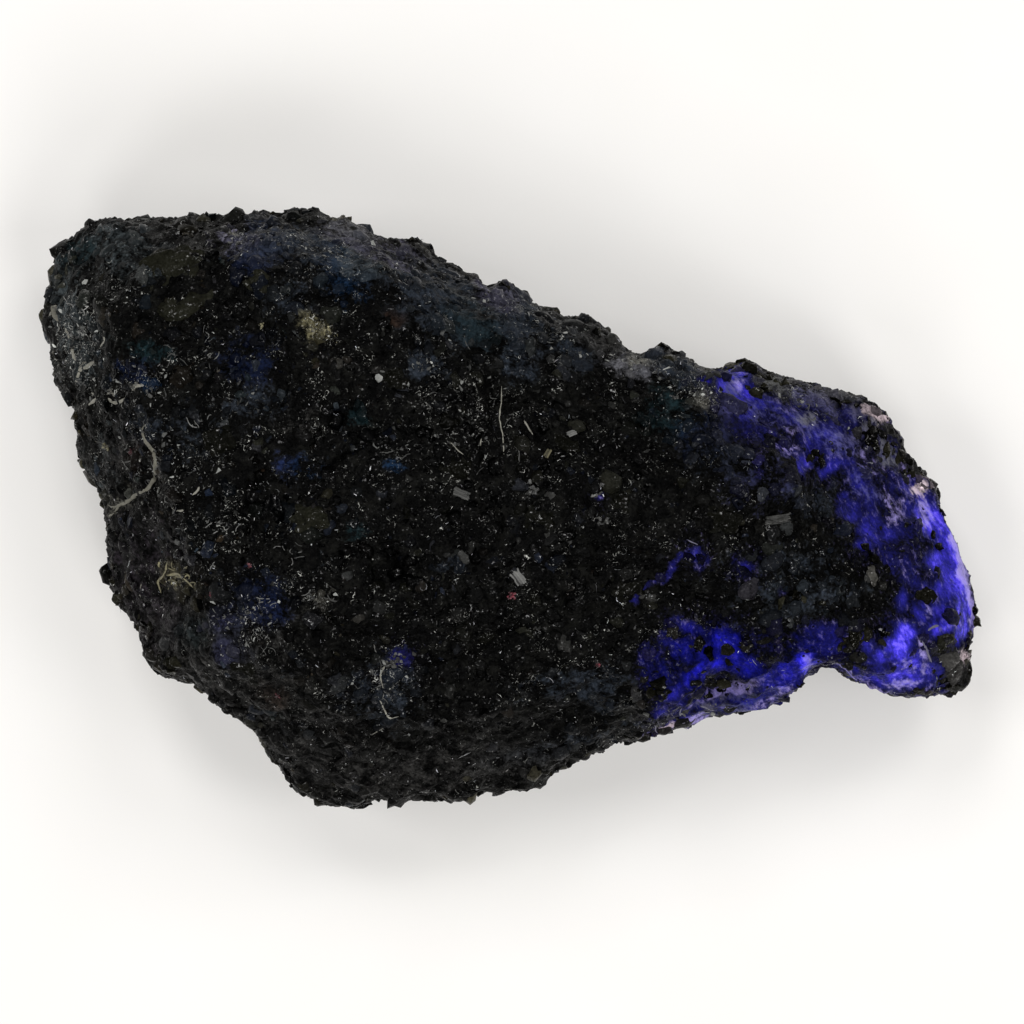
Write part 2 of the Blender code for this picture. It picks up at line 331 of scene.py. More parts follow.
# Each oval's row starts with its middle (x, y), half-length, half-width and turn in degrees.
# Then comes the glow of a window or of a veil of film and painted sheen, or the hue and level of a
# patch, a stone or a patch of dust and painted glint.
WINDOWS = table(
    Window,
    (9.8, 6.5, 0.33, 0.23, 0, 0.5), (11.2, 6.3, 0.72, 0.6, 0, 0.8), (11.7, 5.7, 0.6, 0.7, 0, 0.6),
    (12.9, 5.3, 1.0, 0.35, -20, 0.52), (14.4, 4.6, 1.04, 0.45, -35, 0.42),
    (16.1, 3.8, 1.3, 0.55, -30, 0.43), (15.1, 3.4, 0.6, 0.91, 0, 0.5),
    (16.5, 2.6, 1.04, 0.59, -15, 0.4), (14.7, 2.4, 0.33, 0.65, 0, 0.5),
    (15.9, 2.0, 0.52, 0.33, 10, 0.58), (17.7, 1.1, 1.56, 0.52, -58, 0.42),
    (17.1, -0.1, 0.59, 0.52, 0, 0.5), (16.8, 0.6, 0.33, 0.33, 0, 0.45),
    (18.2, -1.0, 0.72, 0.85, 0, 0.5), (17.8, -1.8, 0.52, 0.33, 0, 0.5),
    (19.0, -2.5, 0.91, 0.33, -60, 0.28), (19.2, 1.5, 0.65, 0.59, 0, 0.3),
    (19.8, -0.8, 2.21, 0.91, -72, 0.2), (20.9, -0.2, 1.17, 0.52, -72, 0.98),
    (22.0, -1.5, 1.69, 0.55, -62, 0.95), (21.6, -2.5, 0.75, 0.55, 20, 0.8),
    (15.4, 4.7, 1.7, 0.5, -30, 0.18), (20.0, -2.6, 1.2, 0.8, -60, 0.24),
    (20.1, -3.4, 0.65, 0.46, 0, 0.34), (21.9, -4.0, 0.78, 0.78, 0, 0.62),
    (22.8, -4.5, 1.43, 0.46, -75, 0.88), (22.7, -5.9, 0.4, 0.6, 0, 0.8),
    (21.7, -5.0, 0.78, 0.6, 0, 0.62), (20.8, -5.1, 0.52, 0.78, 0, 0.5),
    (19.8, -4.5, 0.52, 0.52, 0, 0.4), (19.9, -6.1, 0.59, 0.52, 0, 0.88),
    (19.6, -7.1, 0.8, 0.91, 0, 0.9), (18.8, -7.4, 0.59, 0.46, 0, 0.72),
    (17.9, -6.8, 0.33, 0.65, 0, 0.55), (18.3, -7.9, 0.52, 0.39, 0, 0.5),
    (20.4, -7.6, 0.65, 0.78, 0, 0.7), (19.8, -8.5, 1.3, 0.59, 0, 0.75),
    (18.5, -8.8, 1.43, 0.46, -12, 0.6), (17.0, -8.5, 0.78, 0.33, -25, 0.45),
    (21.4, -8.7, 0.52, 0.52, 0, 0.3), (14.8, -7.7, 0.52, 0.52, 0, 1),
    (15.4, -7.9, 0.26, 0.26, 0, 0.9), (14.0, -8.1, 0.91, 0.59, 10, 0.58),
    (14.1, -9.0, 0.91, 0.46, 30, 0.55), (13.0, -8.7, 0.91, 0.59, 0, 0.5),
    (12.3, -9.7, 1.17, 0.39, 20, 0.5), (11.3, -9.4, 0.91, 0.52, 0, 0.3),
    (10.8, -6.5, 0.72, 0.52, 0, 0.68), (11.3, -7.5, 0.91, 0.59, -80, 0.5),
    (11.8, -7.9, 0.78, 0.52, 0, 0.52), (10.3, -7.9, 0.65, 0.39, 20, 0.58),
    (9.3, -8.3, 0.91, 0.45, 35, 0.66), (8.3, -9.2, 0.78, 0.33, 45, 0.52),
    (7.6, -10.0, 0.59, 0.33, 45, 0.42), (9.0, -5.9, 0.91, 0.33, -20, 0.5),
    (7.0, -7.3, 0.72, 0.72, 0, 0.25), (8.7, -7.0, 0.72, 0.65, 0, 0.36),
    (7.9, -6.5, 0.65, 0.65, 0, 0.25), (10.3, -7.3, 1.3, 0.91, 0, 0.4),
    (7.5, -8.3, 1.17, 0.91, 0, 0.24), (9.5, -9.8, 1.95, 0.65, 12, 0.3),
    (9.6, -10.8, 2.4, 0.4, 15, 0.26), (9.6, -2.6, 0.5, 0.4, 0, 0.25),
    (15.7, -6.6, 1.4, 1.1, 0, 0.33), (12.8, -6.6, 1.8, 0.9, -10, 0.14),
    (9.2, -2.3, 0.39, 0.39, 0, 0.44), (11.9, -3.0, 0.4, 0.4, 0, 0.5),
    (11.3, -2.6, 0.39, 0.39, 0, 0.18), (13.7, -4.1, 0.39, 0.39, 0, 0.18),
    (12.5, 2.1, 0.26, 0.78, 0, 0.2), (12.4, 4.3, 1.8, 1.3, 0, 0.2), (11.9, 5.1, 0.6, 0.6, 0, 0.45),
    (13.0, 3.7, 0.52, 0.39, 0, 0.28), (11.3, 4.2, 0.78, 0.65, 0, 0.2),
    (17.0, 4.6, 0.65, 0.91, 0, 0.24), (19.0, -0.3, 4.2, 2.1, -60, 0.17),
    (4.5, 0.6, 0.2, 0.26, 0, 0.3), (-5.4, -7.5, 0.59, 0.65, 0, 0.28),
    (19.0, 2.8, 0.9, 0.6, -50, 0.27), (20.0, 1.1, 0.75, 0.5, -60, 0.48),
    (20.0, 0.0, 0.6, 0.5, -60, 0.4), (19.0, -1.1, 0.7, 0.55, 0, 0.48),
    (14.0, 3.1, 0.7, 0.5, -20, 0.32), (21.7, -5.9, 0.9, 0.5, 0, 0.75),
    (21.0, -8.1, 0.65, 0.5, 0, 0.6), (21.0, -4.0, 0.6, 0.5, 0, 0.42),
    (17.0, -8.2, 0.8, 0.35, -25, 0.5), (17.3, 4.9, 0.8, 0.45, -38, 0.24),
    (18.1, 4.0, 0.7, 0.45, -42, 0.3), (22.0, -3.1, 0.6, 0.6, 0, 0.76),
)
STREAKS = table(
    Streak,
    (((9.2, -2.3), (8.4, -2.5), (7.9, -3.3), (7.3, -3.7), (6.6, -4.0), (6.2, -4.6)), 0.15, 0.31),
    (((21.5, -0.3), (22.3, -1.8), (22.8, -3.5), (23.1, -4.8), (23.0, -5.6), (22.6, -6.5)),
     0.25, 0.8),
    (((7.5, -11.4), (9.5, -10.6), (11.5, -10.2), (13.3, -9.7), (14.4, -9.0)), 0.32, 0.4),
    (((11.4, 6.2), (11.8, 5.5), (12.8, 5.2), (13.8, 4.9), (15.0, 4.2)), 0.2, 0.5),
)
# Veils are pale film over the windows, partly painted sheen: pale lilac highlights along the rims
# and over the windows.
VEILS_AND_SHEEN = table(
    Window,
    (16.6, 3.0, 0.7, 0.4, -20, 0.45), (14.6, 4.3, 1.7, 0.6, -32, 0.3),
    (12.6, 4.9, 1.2, 0.6, -15, 0.25), (17.6, 1.3, 0.5, 1.3, 30, 0.25),
    (11.2, -10.2, 1.8, 0.3, 16, 0.45), (12.0, -9.0, 1.4, 0.25, 12, 0.35),
    (9.7, -9.9, 0.6, 0.22, -20, 0.8), (12.6, -9.9, 0.8, 0.2, 18, 0.45),
    (9.1, -11.0, 0.9, 0.2, 18, 0.8), (7.9, -11.3, 0.6, 0.2, 10, 0.9),
    (14.9, 4.6, 0.6, 0.35, -10, 0.6), (13.0, 5.6, 0.6, 0.3, -10, 0.3),
    (17.8, 2.0, 0.5, 0.25, -40, 0.3), (18.8, 0.5, 0.6, 0.3, -60, 0.3),
    (20.75, -7.0, 0.14, 0.55, 28, 0.7), (20.0, -8.0, 0.35, 0.35, 0, 0.3),
    (21.1, -4.9, 0.3, 0.35, 0, 0.15), (11.4, 6.3, 0.4, 0.35, 0, 0.5),
    (19.8, -8.9, 0.9, 0.2, 5, 0.5), (15.0, -7.7, 0.3, 0.2, 0, 0.8),
    (18.2, 4.8, 0.45, 0.3, -40, 0.8), (20.6, 1.0, 0.3, 0.4, 40, 0.8),
    (22.8, -7.4, 0.25, 0.4, 0, 0.6), (14.0, -9.4, 0.6, 0.2, 25, 0.4),
    (9.5, -10.7, 1.2, 0.2, 14, 0.4), (7.5, -11.4, 0.7, 0.15, 14, 0.35),
    (18.9, 2.8, 0.9, 0.6, -50, 0.5), (16.6, 3.5, 1.3, 0.6, -28, 0.5),
    (14.0, 3.1, 0.6, 0.4, -20, 0.25), (20.0, 1.1, 0.7, 0.45, -60, 0.38),
    (19.3, 0.0, 0.9, 0.4, -60, 0.32), (20.9, 0.0, 0.9, 0.4, -72, 0.5),
    (22.1, -5.9, 0.6, 0.4, 0, 0.32), (21.0, -8.0, 0.5, 0.45, 0, 0.35),
    (17.0, -8.4, 0.8, 0.25, -25, 0.45), (11.4, -9.1, 1.5, 0.4, 12, 0.6),
    (11.1, 6.1, 0.45, 0.4, 0, 0.65), (17.3, 4.9, 0.8, 0.45, -38, 0.42),
    (18.1, 4.0, 0.7, 0.45, -42, 0.65),
)
# Streaks of pale film and painted sheen along the rims.
VEIL_AND_SHEEN_STREAKS = table(
    Streak,
    (((22.2, -1.4), (22.6, -2.5), (23.0, -3.9), (23.3, -5.1), (23.3, -6.2)), 0.19, 0.85),
    (((16.3, -8.3), (17.3, -9.0), (18.6, -9.4), (20.0, -9.5)), 0.12, 0.5),
)
# The slate, lilac and ash patches on the north slope, about x -4 to 9 and y 7 to 11, are partly the
# crust's own colour and partly painted light: that slope is made lighter as the side that faces the
# light.
PATCHES = table(
    Patch,
    (-19.0, 12.9, 2.0, 1.2, 0, Hue.FROST, 0.48), (-17.8, 7.9, 1.25, 0.5, -10, Hue.TEAL, 0.7),
    (-18.7, 6.9, 0.8, 0.6, 0, Hue.NAVY, 0.9), (-12.9, 12.4, 1.0, 0.8, 0, Hue.NAVY, 0.8),
    (-12.2, 13.3, 1.5, 0.9, 0, Hue.PERIWINKLE, 0.55), (-5.5, 13.0, 1.3, 0.5, -28, Hue.LILAC, 0.7),
    (-15.5, 4.0, 1.6, 1.2, 0, Hue.SLATE, 0.35), (-11.0, 10.5, 1.2, 0.9, 0, Hue.SLATE, 0.4),
    (-20.0, 2.5, 0.8, 1.3, 0, Hue.FROST, 0.3), (-10.0, 13.2, 3.0, 1.0, -8, Hue.SLATE, 0.8),
    (-8.2, 12.2, 1.2, 1.0, -20, Hue.AZURE, 0.5), (-8.0, 13.4, 1.7, 0.4, -24, Hue.LILAC, 0.6),
    (-13.9, 13.5, 1.2, 0.5, 0, Hue.LILAC, 0.5), (-9.8, 9.1, 0.9, 0.5, -35, Hue.YELLOW, 0.55),
    (-5.6, 9.6, 0.45, 0.35, 0, Hue.RUST, 0.9), (-4.2, 7.2, 1.0, 0.7, 0, Hue.SLATE, 0.85),
    (0.5, 7.5, 0.9, 1.1, 0, Hue.SLATE, 0.7), (-11.0, 2.2, 0.9, 0.5, 0, Hue.BLUE, 0.42),
    (-5.7, 2.2, 0.5, 0.4, 0, Hue.AZURE, 0.55), (-17.9, 6.3, 0.4, 0.35, 0, Hue.AZURE, 0.6),
    (-7.6, 4.7, 0.6, 0.45, 0, Hue.TEAL, 0.7), (-13.1, 7.5, 1.5, 1.2, 0, Hue.NAVY, 0.6),
    (-7.6, -1.2, 0.45, 0.45, 0, Hue.TEAL, 0.7), (-2.9, -2.8, 0.75, 0.45, 0, Hue.SLATE, 0.6),
    (8.0, 5.0, 1.4, 1.3, 0, Hue.TEAL, 0.5), (9.8, 3.6, 1.6, 1.4, 0, Hue.NAVY, 0.4),
    (12.8, 1.6, 2.2, 1.3, -15, Hue.DUSK, 0.34), (14.4, -3.8, 3.0, 1.8, 0, Hue.SLATE, 0.4),
    (12.4, 5.0, 2.0, 0.8, -20, Hue.HAZE, 0.75), (16.0, 3.9, 1.7, 0.9, -30, Hue.HAZE, 0.85),
    (17.8, 1.2, 0.8, 1.6, 30, Hue.HAZE, 0.6), (-3.5, 10.5, 3.2, 1.6, -30, Hue.SLATE, 0.62),
    (-1.8, 9.2, 1.6, 0.8, -25, Hue.TEAL, 0.5), (0.4, 9.9, 1.1, 1.4, 10, Hue.SLATE, 1.0),
    (-0.6, 10.7, 1.1, 0.6, -35, Hue.LILAC, 0.85), (2.8, 8.4, 1.8, 1.2, -27, Hue.SLATE, 0.22),
    (4.6, 8.4, 1.8, 0.6, -27, Hue.SMOKE, 0.5), (6.3, 7.2, 1.4, 0.55, -12, Hue.ASH, 1.0),
    (8.6, 7.0, 2.4, 0.7, -18, Hue.SLATE, 0.9), (14.0, 6.1, 2.6, 0.7, -20, Hue.ASH, 0.5),
    (17.2, 4.8, 1.5, 0.8, -38, Hue.LILAC, 0.85), (15.8, 4.9, 1.9, 0.6, -32, Hue.HAZE, 0.65),
    (-3.0, -12.9, 5.5, 1.1, 6, Hue.SMOKE, 0.5), (-12.6, -4.0, 1.3, 0.9, 0, Hue.NAVY, 0.6),
    (-13.9, -5.4, 1.2, 0.8, 0, Hue.BLUE, 0.4), (-13.9, -7.1, 0.9, 0.8, 0, Hue.NAVY, 0.6),
    (-14.5, -5.6, 0.5, 0.4, 0, Hue.DUSK, 0.8), (-14.2, -7.2, 0.5, 0.6, 20, Hue.DUSK, 0.8),
    (-15.9, -6.2, 0.8, 0.9, 0, Hue.TEAL, 0.5), (-5.4, -7.3, 0.65, 0.75, 0, Hue.BLUE, 0.5),
    (3.3, -8.7, 2.5, 0.7, 8, Hue.SLATE, 0.5), (4.0, -11.4, 4.5, 0.6, 14, Hue.SLATE, 0.25),
    (4.6, -9.5, 0.9, 0.8, 0, Hue.SLATE, 0.6), (-9.0, -12.5, 3.0, 1.4, -10, Hue.SMOKE, 0.35),
    (-21.7, 8.3, 1.2, 1.9, 20, Hue.FROST, 0.45), (-22.3, 10.6, 0.8, 1.5, 10, Hue.FROST, 0.6),
    (-21.7, 12.8, 1.1, 0.8, 30, Hue.TEAL, 0.5), (-18.4, -2.8, 1.7, 2.6, 0, Hue.PLUM, 0.38),
    (-17.6, -5.6, 1.3, 1.5, -30, Hue.PLUM, 0.32), (-19.6, 0.3, 1.0, 0.4, 30, Hue.CREAM, 0.35),
    (-16.6, -3.4, 0.9, 0.6, -30, Hue.YELLOW, 0.3), (-6.0, -9.0, 1.3, 1.7, 0, Hue.SLATE, 0.5),
    (-9.5, -4.5, 0.6, 0.5, 0, Hue.CREAM, 0.25), (-19.0, 2.7, 1.2, 1.1, 0, Hue.RUST, 0.35),
    (-12.0, -9.5, 0.9, 0.8, 0, Hue.RUST, 0.45), (10.5, 7.2, 1.4, 0.5, -18, Hue.CREAM, 0.45),
    (9.6, 5.5, 0.6, 0.45, 0, Hue.CREAM, 0.6), (17.3, 3.7, 0.7, 0.5, -30, Hue.LILAC, 0.5),
    (10.0, -10.0, 2.6, 0.45, 15, Hue.LILAC, 0.8), (12.2, -9.6, 1.6, 0.4, 20, Hue.PERIWINKLE, 0.5),
    (18.9, 3.6, 1.3, 0.35, -45, Hue.OLIVE, 0.7), (22.0, -7.4, 0.9, 1.4, -5, Hue.SMOKE, 0.9),
    (18.2, 4.8, 0.5, 0.35, -40, Hue.PINK, 0.9), (-14.3, -8.3, 4.0, 3.2, -45, Hue.SMOKE, 0.35),
    (14.9, 4.6, 0.6, 0.35, -10, Hue.ASH, 0.9), (16.7, 5.9, 0.6, 0.3, -20, Hue.ASH, 0.7),
    (11.9, 5.5, 0.6, 0.3, 0, Hue.PUTTY, 0.7), (13.2, 6.1, 0.9, 0.35, -20, Hue.CHALK, 0.5),
    (18.0, 4.2, 0.7, 0.4, -40, Hue.ASH, 0.8), (6.5, 7.6, 0.7, 0.35, -20, Hue.CREAM, 0.8),
    (-7.5, 12.2, 1.0, 0.6, -15, Hue.FROST, 0.5), (15.5, 0.5, 1.4, 0.9, 0, Hue.SLATE, 0.45),
    (10.5, 2.5, 1.4, 1.0, 0, Hue.SLATE, 0.3), (-10.5, 4.6, 1.2, 0.9, 0, Hue.SMOKE, 0.3),
    (7.9, -11.3, 0.7, 0.3, 10, Hue.PINK, 0.6), (20.6, 1.0, 0.35, 0.45, 40, Hue.PINK, 0.9),
    (22.8, -7.4, 0.25, 0.45, 0, Hue.PINK, 0.8), (18.9, 2.7, 1.0, 0.55, -50, Hue.ASH, 0.75),
    (-8.0, 14.0, 1.3, 0.5, -10, Hue.ASH, 0.6), (-8.0, -9.0, 0.9, 0.8, 0, Hue.SLATE, 0.5),
    (-12.0, -5.0, 0.9, 0.8, 0, Hue.BLUE, 0.6), (-18.4, 4.0, 1.1, 0.8, 0, Hue.SLATE, 0.5),
    (-10.1, 2.0, 0.8, 0.6, 0, Hue.AZURE, 0.35), (-12.6, 5.3, 1.3, 0.8, 0, Hue.SLATE, 0.45),
    (-20.0, 13.8, 1.0, 0.5, 0, Hue.FROST, 0.5), (11.2, 4.0, 1.0, 0.7, 0, Hue.DUSK, 0.5),
    (3.0, 7.9, 1.2, 0.5, -27, Hue.SLATE, 0.7), (-8.0, 11.0, 1.0, 0.8, 0, Hue.AZURE, 0.4),
)
DEEP_BLUE = Oval(11.2, -7.4, 4.8, 2.0, 8)
SMOOTH_BAND = Oval(-5.0, -13.0, 10.0, 2.2, 8)
SMOOTH_CORNER = Oval(-18.2, -3.8, 1.8, 2.0, 0)
STONES = table(
    Patch,
    (-17.0, 12.2, 1.5, 0.95, 25, Hue.OLIVE, 1.0), (-15.9, 10.2, 1.6, 0.7, 10, Hue.OLIVE, 0.9),
    (-12.5, 11.4, 0.7, 0.55, -5, Hue.OLIVE, 1.0), (1.5, -0.5, 0.8, 0.65, 0, Hue.MOSS, 0.9),
    (-10.0, -0.3, 0.9, 0.75, 20, Hue.OLIVE, 0.9), (10.5, -0.5, 1.0, 0.75, 10, Hue.MOSS, 0.9),
    (5.5, 0.5, 0.8, 0.6, -20, Hue.MOSS, 0.7), (-13.0, -7.9, 0.8, 0.65, 30, Hue.MOSS, 0.9),
    (-2.6, 2.0, 0.7, 0.55, 0, Hue.MOSS, 0.8), (2.8, 3.4, 0.9, 0.6, -15, Hue.MOSS, 0.7),
    (6.0, -4.0, 0.8, 0.6, 25, Hue.MOSS, 0.7), (-5.8, 6.6, 0.8, 0.6, 0, Hue.MOSS, 0.8),
    (-14.4, 3.4, 0.8, 0.7, 0, Hue.MOSS, 0.8), (-1.0, -6.4, 0.9, 0.6, 10, Hue.MOSS, 0.7),
    # The three stones at the east corner stand for one dark stone; the lighter smoke one in the
    # middle is its painted sheen.
    (21.7, -6.8, 0.6, 0.6, 0, Hue.OLIVE, 1.2), (21.9, -7.4, 0.8, 0.85, 15, Hue.SMOKE, 1.7),
    (22.2, -8.3, 0.7, 0.75, -15, Hue.SMOKE, 0.9),
)
# Patches of dust and painted glint: pale dust and flakes lie there, and the painted glints of the
# flecks are commoner.
DUST_AND_GLINT = table(
    Patch,
    (-21.6, 8.4, 1.0, 2.0, 10, Hue.CHALK, 1.5), (-20.4, 10.6, 1.6, 0.9, 20, Hue.CHALK, 0.6),
    (-13.6, 13.6, 0.9, 0.5, 0, Hue.CHALK, 1.0), (-9.6, 9.1, 1.0, 0.5, -35, Hue.YELLOW, 0.8),
    (-14.5, -1.0, 1.6, 1.8, -40, Hue.CHALK, 0.4), (0.8, 9.9, 2.8, 0.8, -28, Hue.CHALK, 0.5),
    (7.0, 7.2, 2.4, 0.5, -15, Hue.CHALK, 0.65), (14.8, 5.2, 2.4, 0.5, -28, Hue.CHALK, 0.4),
    (-19.0, 6.0, 1.8, 1.6, 0, Hue.CHALK, 0.45), (-18.4, 2.6, 1.4, 1.6, 0, Hue.CHALK, 0.22),
    (-16.6, -3.4, 1.1, 0.7, -30, Hue.YELLOW, 0.6), (-15.8, 2.5, 1.6, 1.6, 0, Hue.CHALK, 0.35),
    (-9.7, -4.3, 0.8, 0.7, 0, Hue.CHALK, 0.8), (-6.0, -8.4, 0.9, 1.2, 0, Hue.CHALK, 0.75),
    (-13.0, -5.6, 1.4, 1.6, 0, Hue.CHALK, 0.5), (9.7, 5.8, 1.2, 0.6, -15, Hue.CHALK, 1.2),
    (-3.0, 4.5, 3.5, 2.5, 0, Hue.CHALK, 0.35), (-9.5, 13.2, 3.2, 0.8, -8, Hue.CHALK, 0.5),
    (9.0, -10.4, 3.4, 0.5, 14, Hue.CHALK, 0.5), (-8.0, -9.0, 0.8, 0.7, 0, Hue.CHALK, 0.4),
    (-18.4, 4.0, 1.1, 0.8, 0, Hue.CHALK, 0.5), (-17.0, 1.0, 0.9, 0.7, 0, Hue.CHALK, 0.8),
    (-12.8, 5.4, 1.3, 0.8, 0, Hue.CHALK, 0.3), (3.0, 8.0, 1.2, 0.5, -27, Hue.CHALK, 0.5),
    (-4.2, 7.2, 0.9, 0.7, 0, Hue.CHALK, 0.5), (-14.0, 6.0, 0.9, 0.8, 0, Hue.CHALK, 0.4),
)
# The last number of a clump's row is how many grains it has, and of a hollow's its depth.
CLUMPS = table(
    Clump,
    (12.5, 6.0, 0.65, 0.35, -10, 14), (13.8, 6.5, 1.3, 0.35, -12, 22),
    (11.5, 7.2, 1.1, 0.3, -5, 16), (15.4, 2.5, 0.45, 0.45, 0, 9), (18.5, 3.5, 1.2, 0.45, -38, 26),
    (19.8, 2.2, 0.7, 0.4, -45, 14), (16.8, 5.5, 0.8, 0.3, -20, 12), (18.7, 4.8, 0.45, 0.35, -40, 8),
    (21.1, 1.5, 0.3, 0.3, 0, 6), (21.6, 0.1, 0.25, 0.25, 0, 5), (21.2, -1.6, 0.55, 0.25, -50, 7),
    (20.5, -4.1, 0.55, 0.4, -25, 9), (18.1, -2.1, 0.65, 0.5, 0, 11), (17.5, -6.2, 0.75, 0.5, 0, 12),
    (18.7, -6.5, 0.4, 0.45, 0, 6), (17.0, -6.9, 0.5, 0.5, 0, 8), (21.9, -8.3, 0.9, 0.6, 0, 6),
    (21.9, -8.9, 0.8, 0.3, -15, 14), (23.1, -8.8, 0.2, 0.15, 0, 3), (9.6, -6.9, 0.5, 0.45, 0, 9),
    (10.9, -6.7, 0.2, 0.2, 0, 2), (10.2, -8.9, 0.55, 0.45, 0, 9), (7.5, -9.0, 0.6, 0.4, 0, 7),
    (14.5, -4.5, 1.5, 0.6, 0, 16), (23.3, -5.2, 0.12, 0.6, 0, 14), (23.1, -6.4, 0.2, 0.5, 0, 5),
    (-4.7, 13.5, 0.55, 0.4, -20, 14), (-0.3, 11.2, 0.45, 0.3, -20, 8), (4.8, 8.7, 0.6, 0.3, -25, 9),
    (7.8, 7.9, 0.7, 0.35, 0, 12), (-17.2, -7.7, 0.8, 0.7, 0, 16), (-18.5, -5.9, 0.5, 0.6, 0, 9),
    (-19.8, -4.0, 0.4, 0.8, 0, 9),
)
HOLLOWS = table(
    Hollow,
    (-14.4, -10.2, 2.3, 0.9, -38, 0.5), (8.0, -11.4, 1.5, 0.7, 16, 0.4),
    (10.2, -10.7, 1.2, 0.6, 16, 0.35), (10.0, 7.5, 1.1, 0.6, -5, 0.35),
    (6.4, 8.3, 1.0, 0.6, -20, 0.35), (2.7, -13.1, 0.9, 0.6, 25, 0.3),
    (-22.4, 13.6, 0.8, 0.7, 45, 0.3), (-8.8, 15.1, 0.6, 0.5, 0, 0.4),
    (18.1, -9.1, 0.6, 0.5, 0, 0.25), (-4.5, -14.6, 0.9, 0.5, 0, 0.25),
    (-11.5, 15.2, 0.6, 0.5, 0, 0.35), (-13.0, 15.1, 0.5, 0.4, 0, 0.25),
    (13.4, 7.1, 0.9, 0.5, -15, 0.3), (1.7, 10.6, 0.8, 0.5, -35, 0.3),
    (3.0, 10.0, 0.6, 0.5, -25, 0.25), (-1.0, 11.6, 0.5, 0.5, 0, 0.3), (8.6, 8.0, 0.6, 0.5, 0, 0.3),
    (-11.5, -13.3, 0.7, 0.5, -55, 0.3), (-6.5, -14.8, 0.6, 0.5, 0, 0.25),
    (-1.2, -14.5, 0.6, 0.5, 0, 0.25), (5.6, -12.0, 0.7, 0.5, 15, 0.25),
    (16.0, -8.2, 0.6, 0.4, 0, 0.2), (-3.3, 12.9, 0.5, 0.45, -40, 0.3),
    (-20.8, 0.6, 0.4, 0.6, 0, 0.3),
)
CHIPS = table(
    Chip,
    (4.5, 1.0, 0.7, 0.42, 20, Hue.QUARTZ), (4.9, 1.3, 0.3, 0.2, 40, Hue.QUARTZ),
    (-5.9, -7.6, 0.5, 0.4, 30, Hue.STEEL), (18.2, 4.9, 0.45, 0.35, -40, Hue.PINK),
    (20.5, 1.1, 0.25, 0.4, 40, Hue.PINK), (22.8, -7.4, 0.3, 0.35, 0, Hue.PINK),
    (9.7, 5.3, 0.2, 0.2, 0, Hue.CREAM), (4.4, -7.7, 0.2, 0.2, 0, Hue.RED),
    (0.1, -4.3, 0.25, 0.2, 0, Hue.RED), (-13.0, -2.8, 0.15, 0.15, 0, Hue.RED),
    (-11.6, -9.3, 0.2, 0.15, 0, Hue.RED), (-14.9, -4.3, 0.15, 0.15, 0, Hue.RED),
    (-18.8, 2.9, 0.3, 0.25, 0, Hue.RED), (1.2, 1.1, 0.35, 0.4, 0, Hue.STEEL),
    (4.7, -0.6, 0.4, 0.25, 0, Hue.STEEL), (-10.0, 9.0, 0.35, 0.2, -30, Hue.YELLOW),
    (-9.2, 9.0, 0.3, 0.25, -30, Hue.YELLOW), (-12.4, 9.2, 0.25, 0.15, 30, Hue.YELLOW),
    (-20.2, 3.2, 0.25, 0.25, 0, Hue.YELLOW), (-2.4, 0.8, 0.45, 0.25, -25, Hue.STEEL),
    (-21.1, 7.4, 0.55, 0.14, 15, Hue.CREAM), (-21.7, 8.2, 0.4, 0.15, 80, Hue.CREAM),
    (-22.8, 9.8, 0.55, 0.22, 70, Hue.CREAM), (-19.8, 5.8, 0.36, 0.14, -15, Hue.CREAM),
    (-20.8, 5.7, 0.28, 0.12, 30, Hue.CREAM), (-18.7, 6.2, 0.32, 0.12, 45, Hue.CREAM),
    (-14.0, 13.7, 0.7, 0.14, 35, Hue.CREAM), (8.2, 5.6, 0.3, 0.14, -20, Hue.STEEL),
)
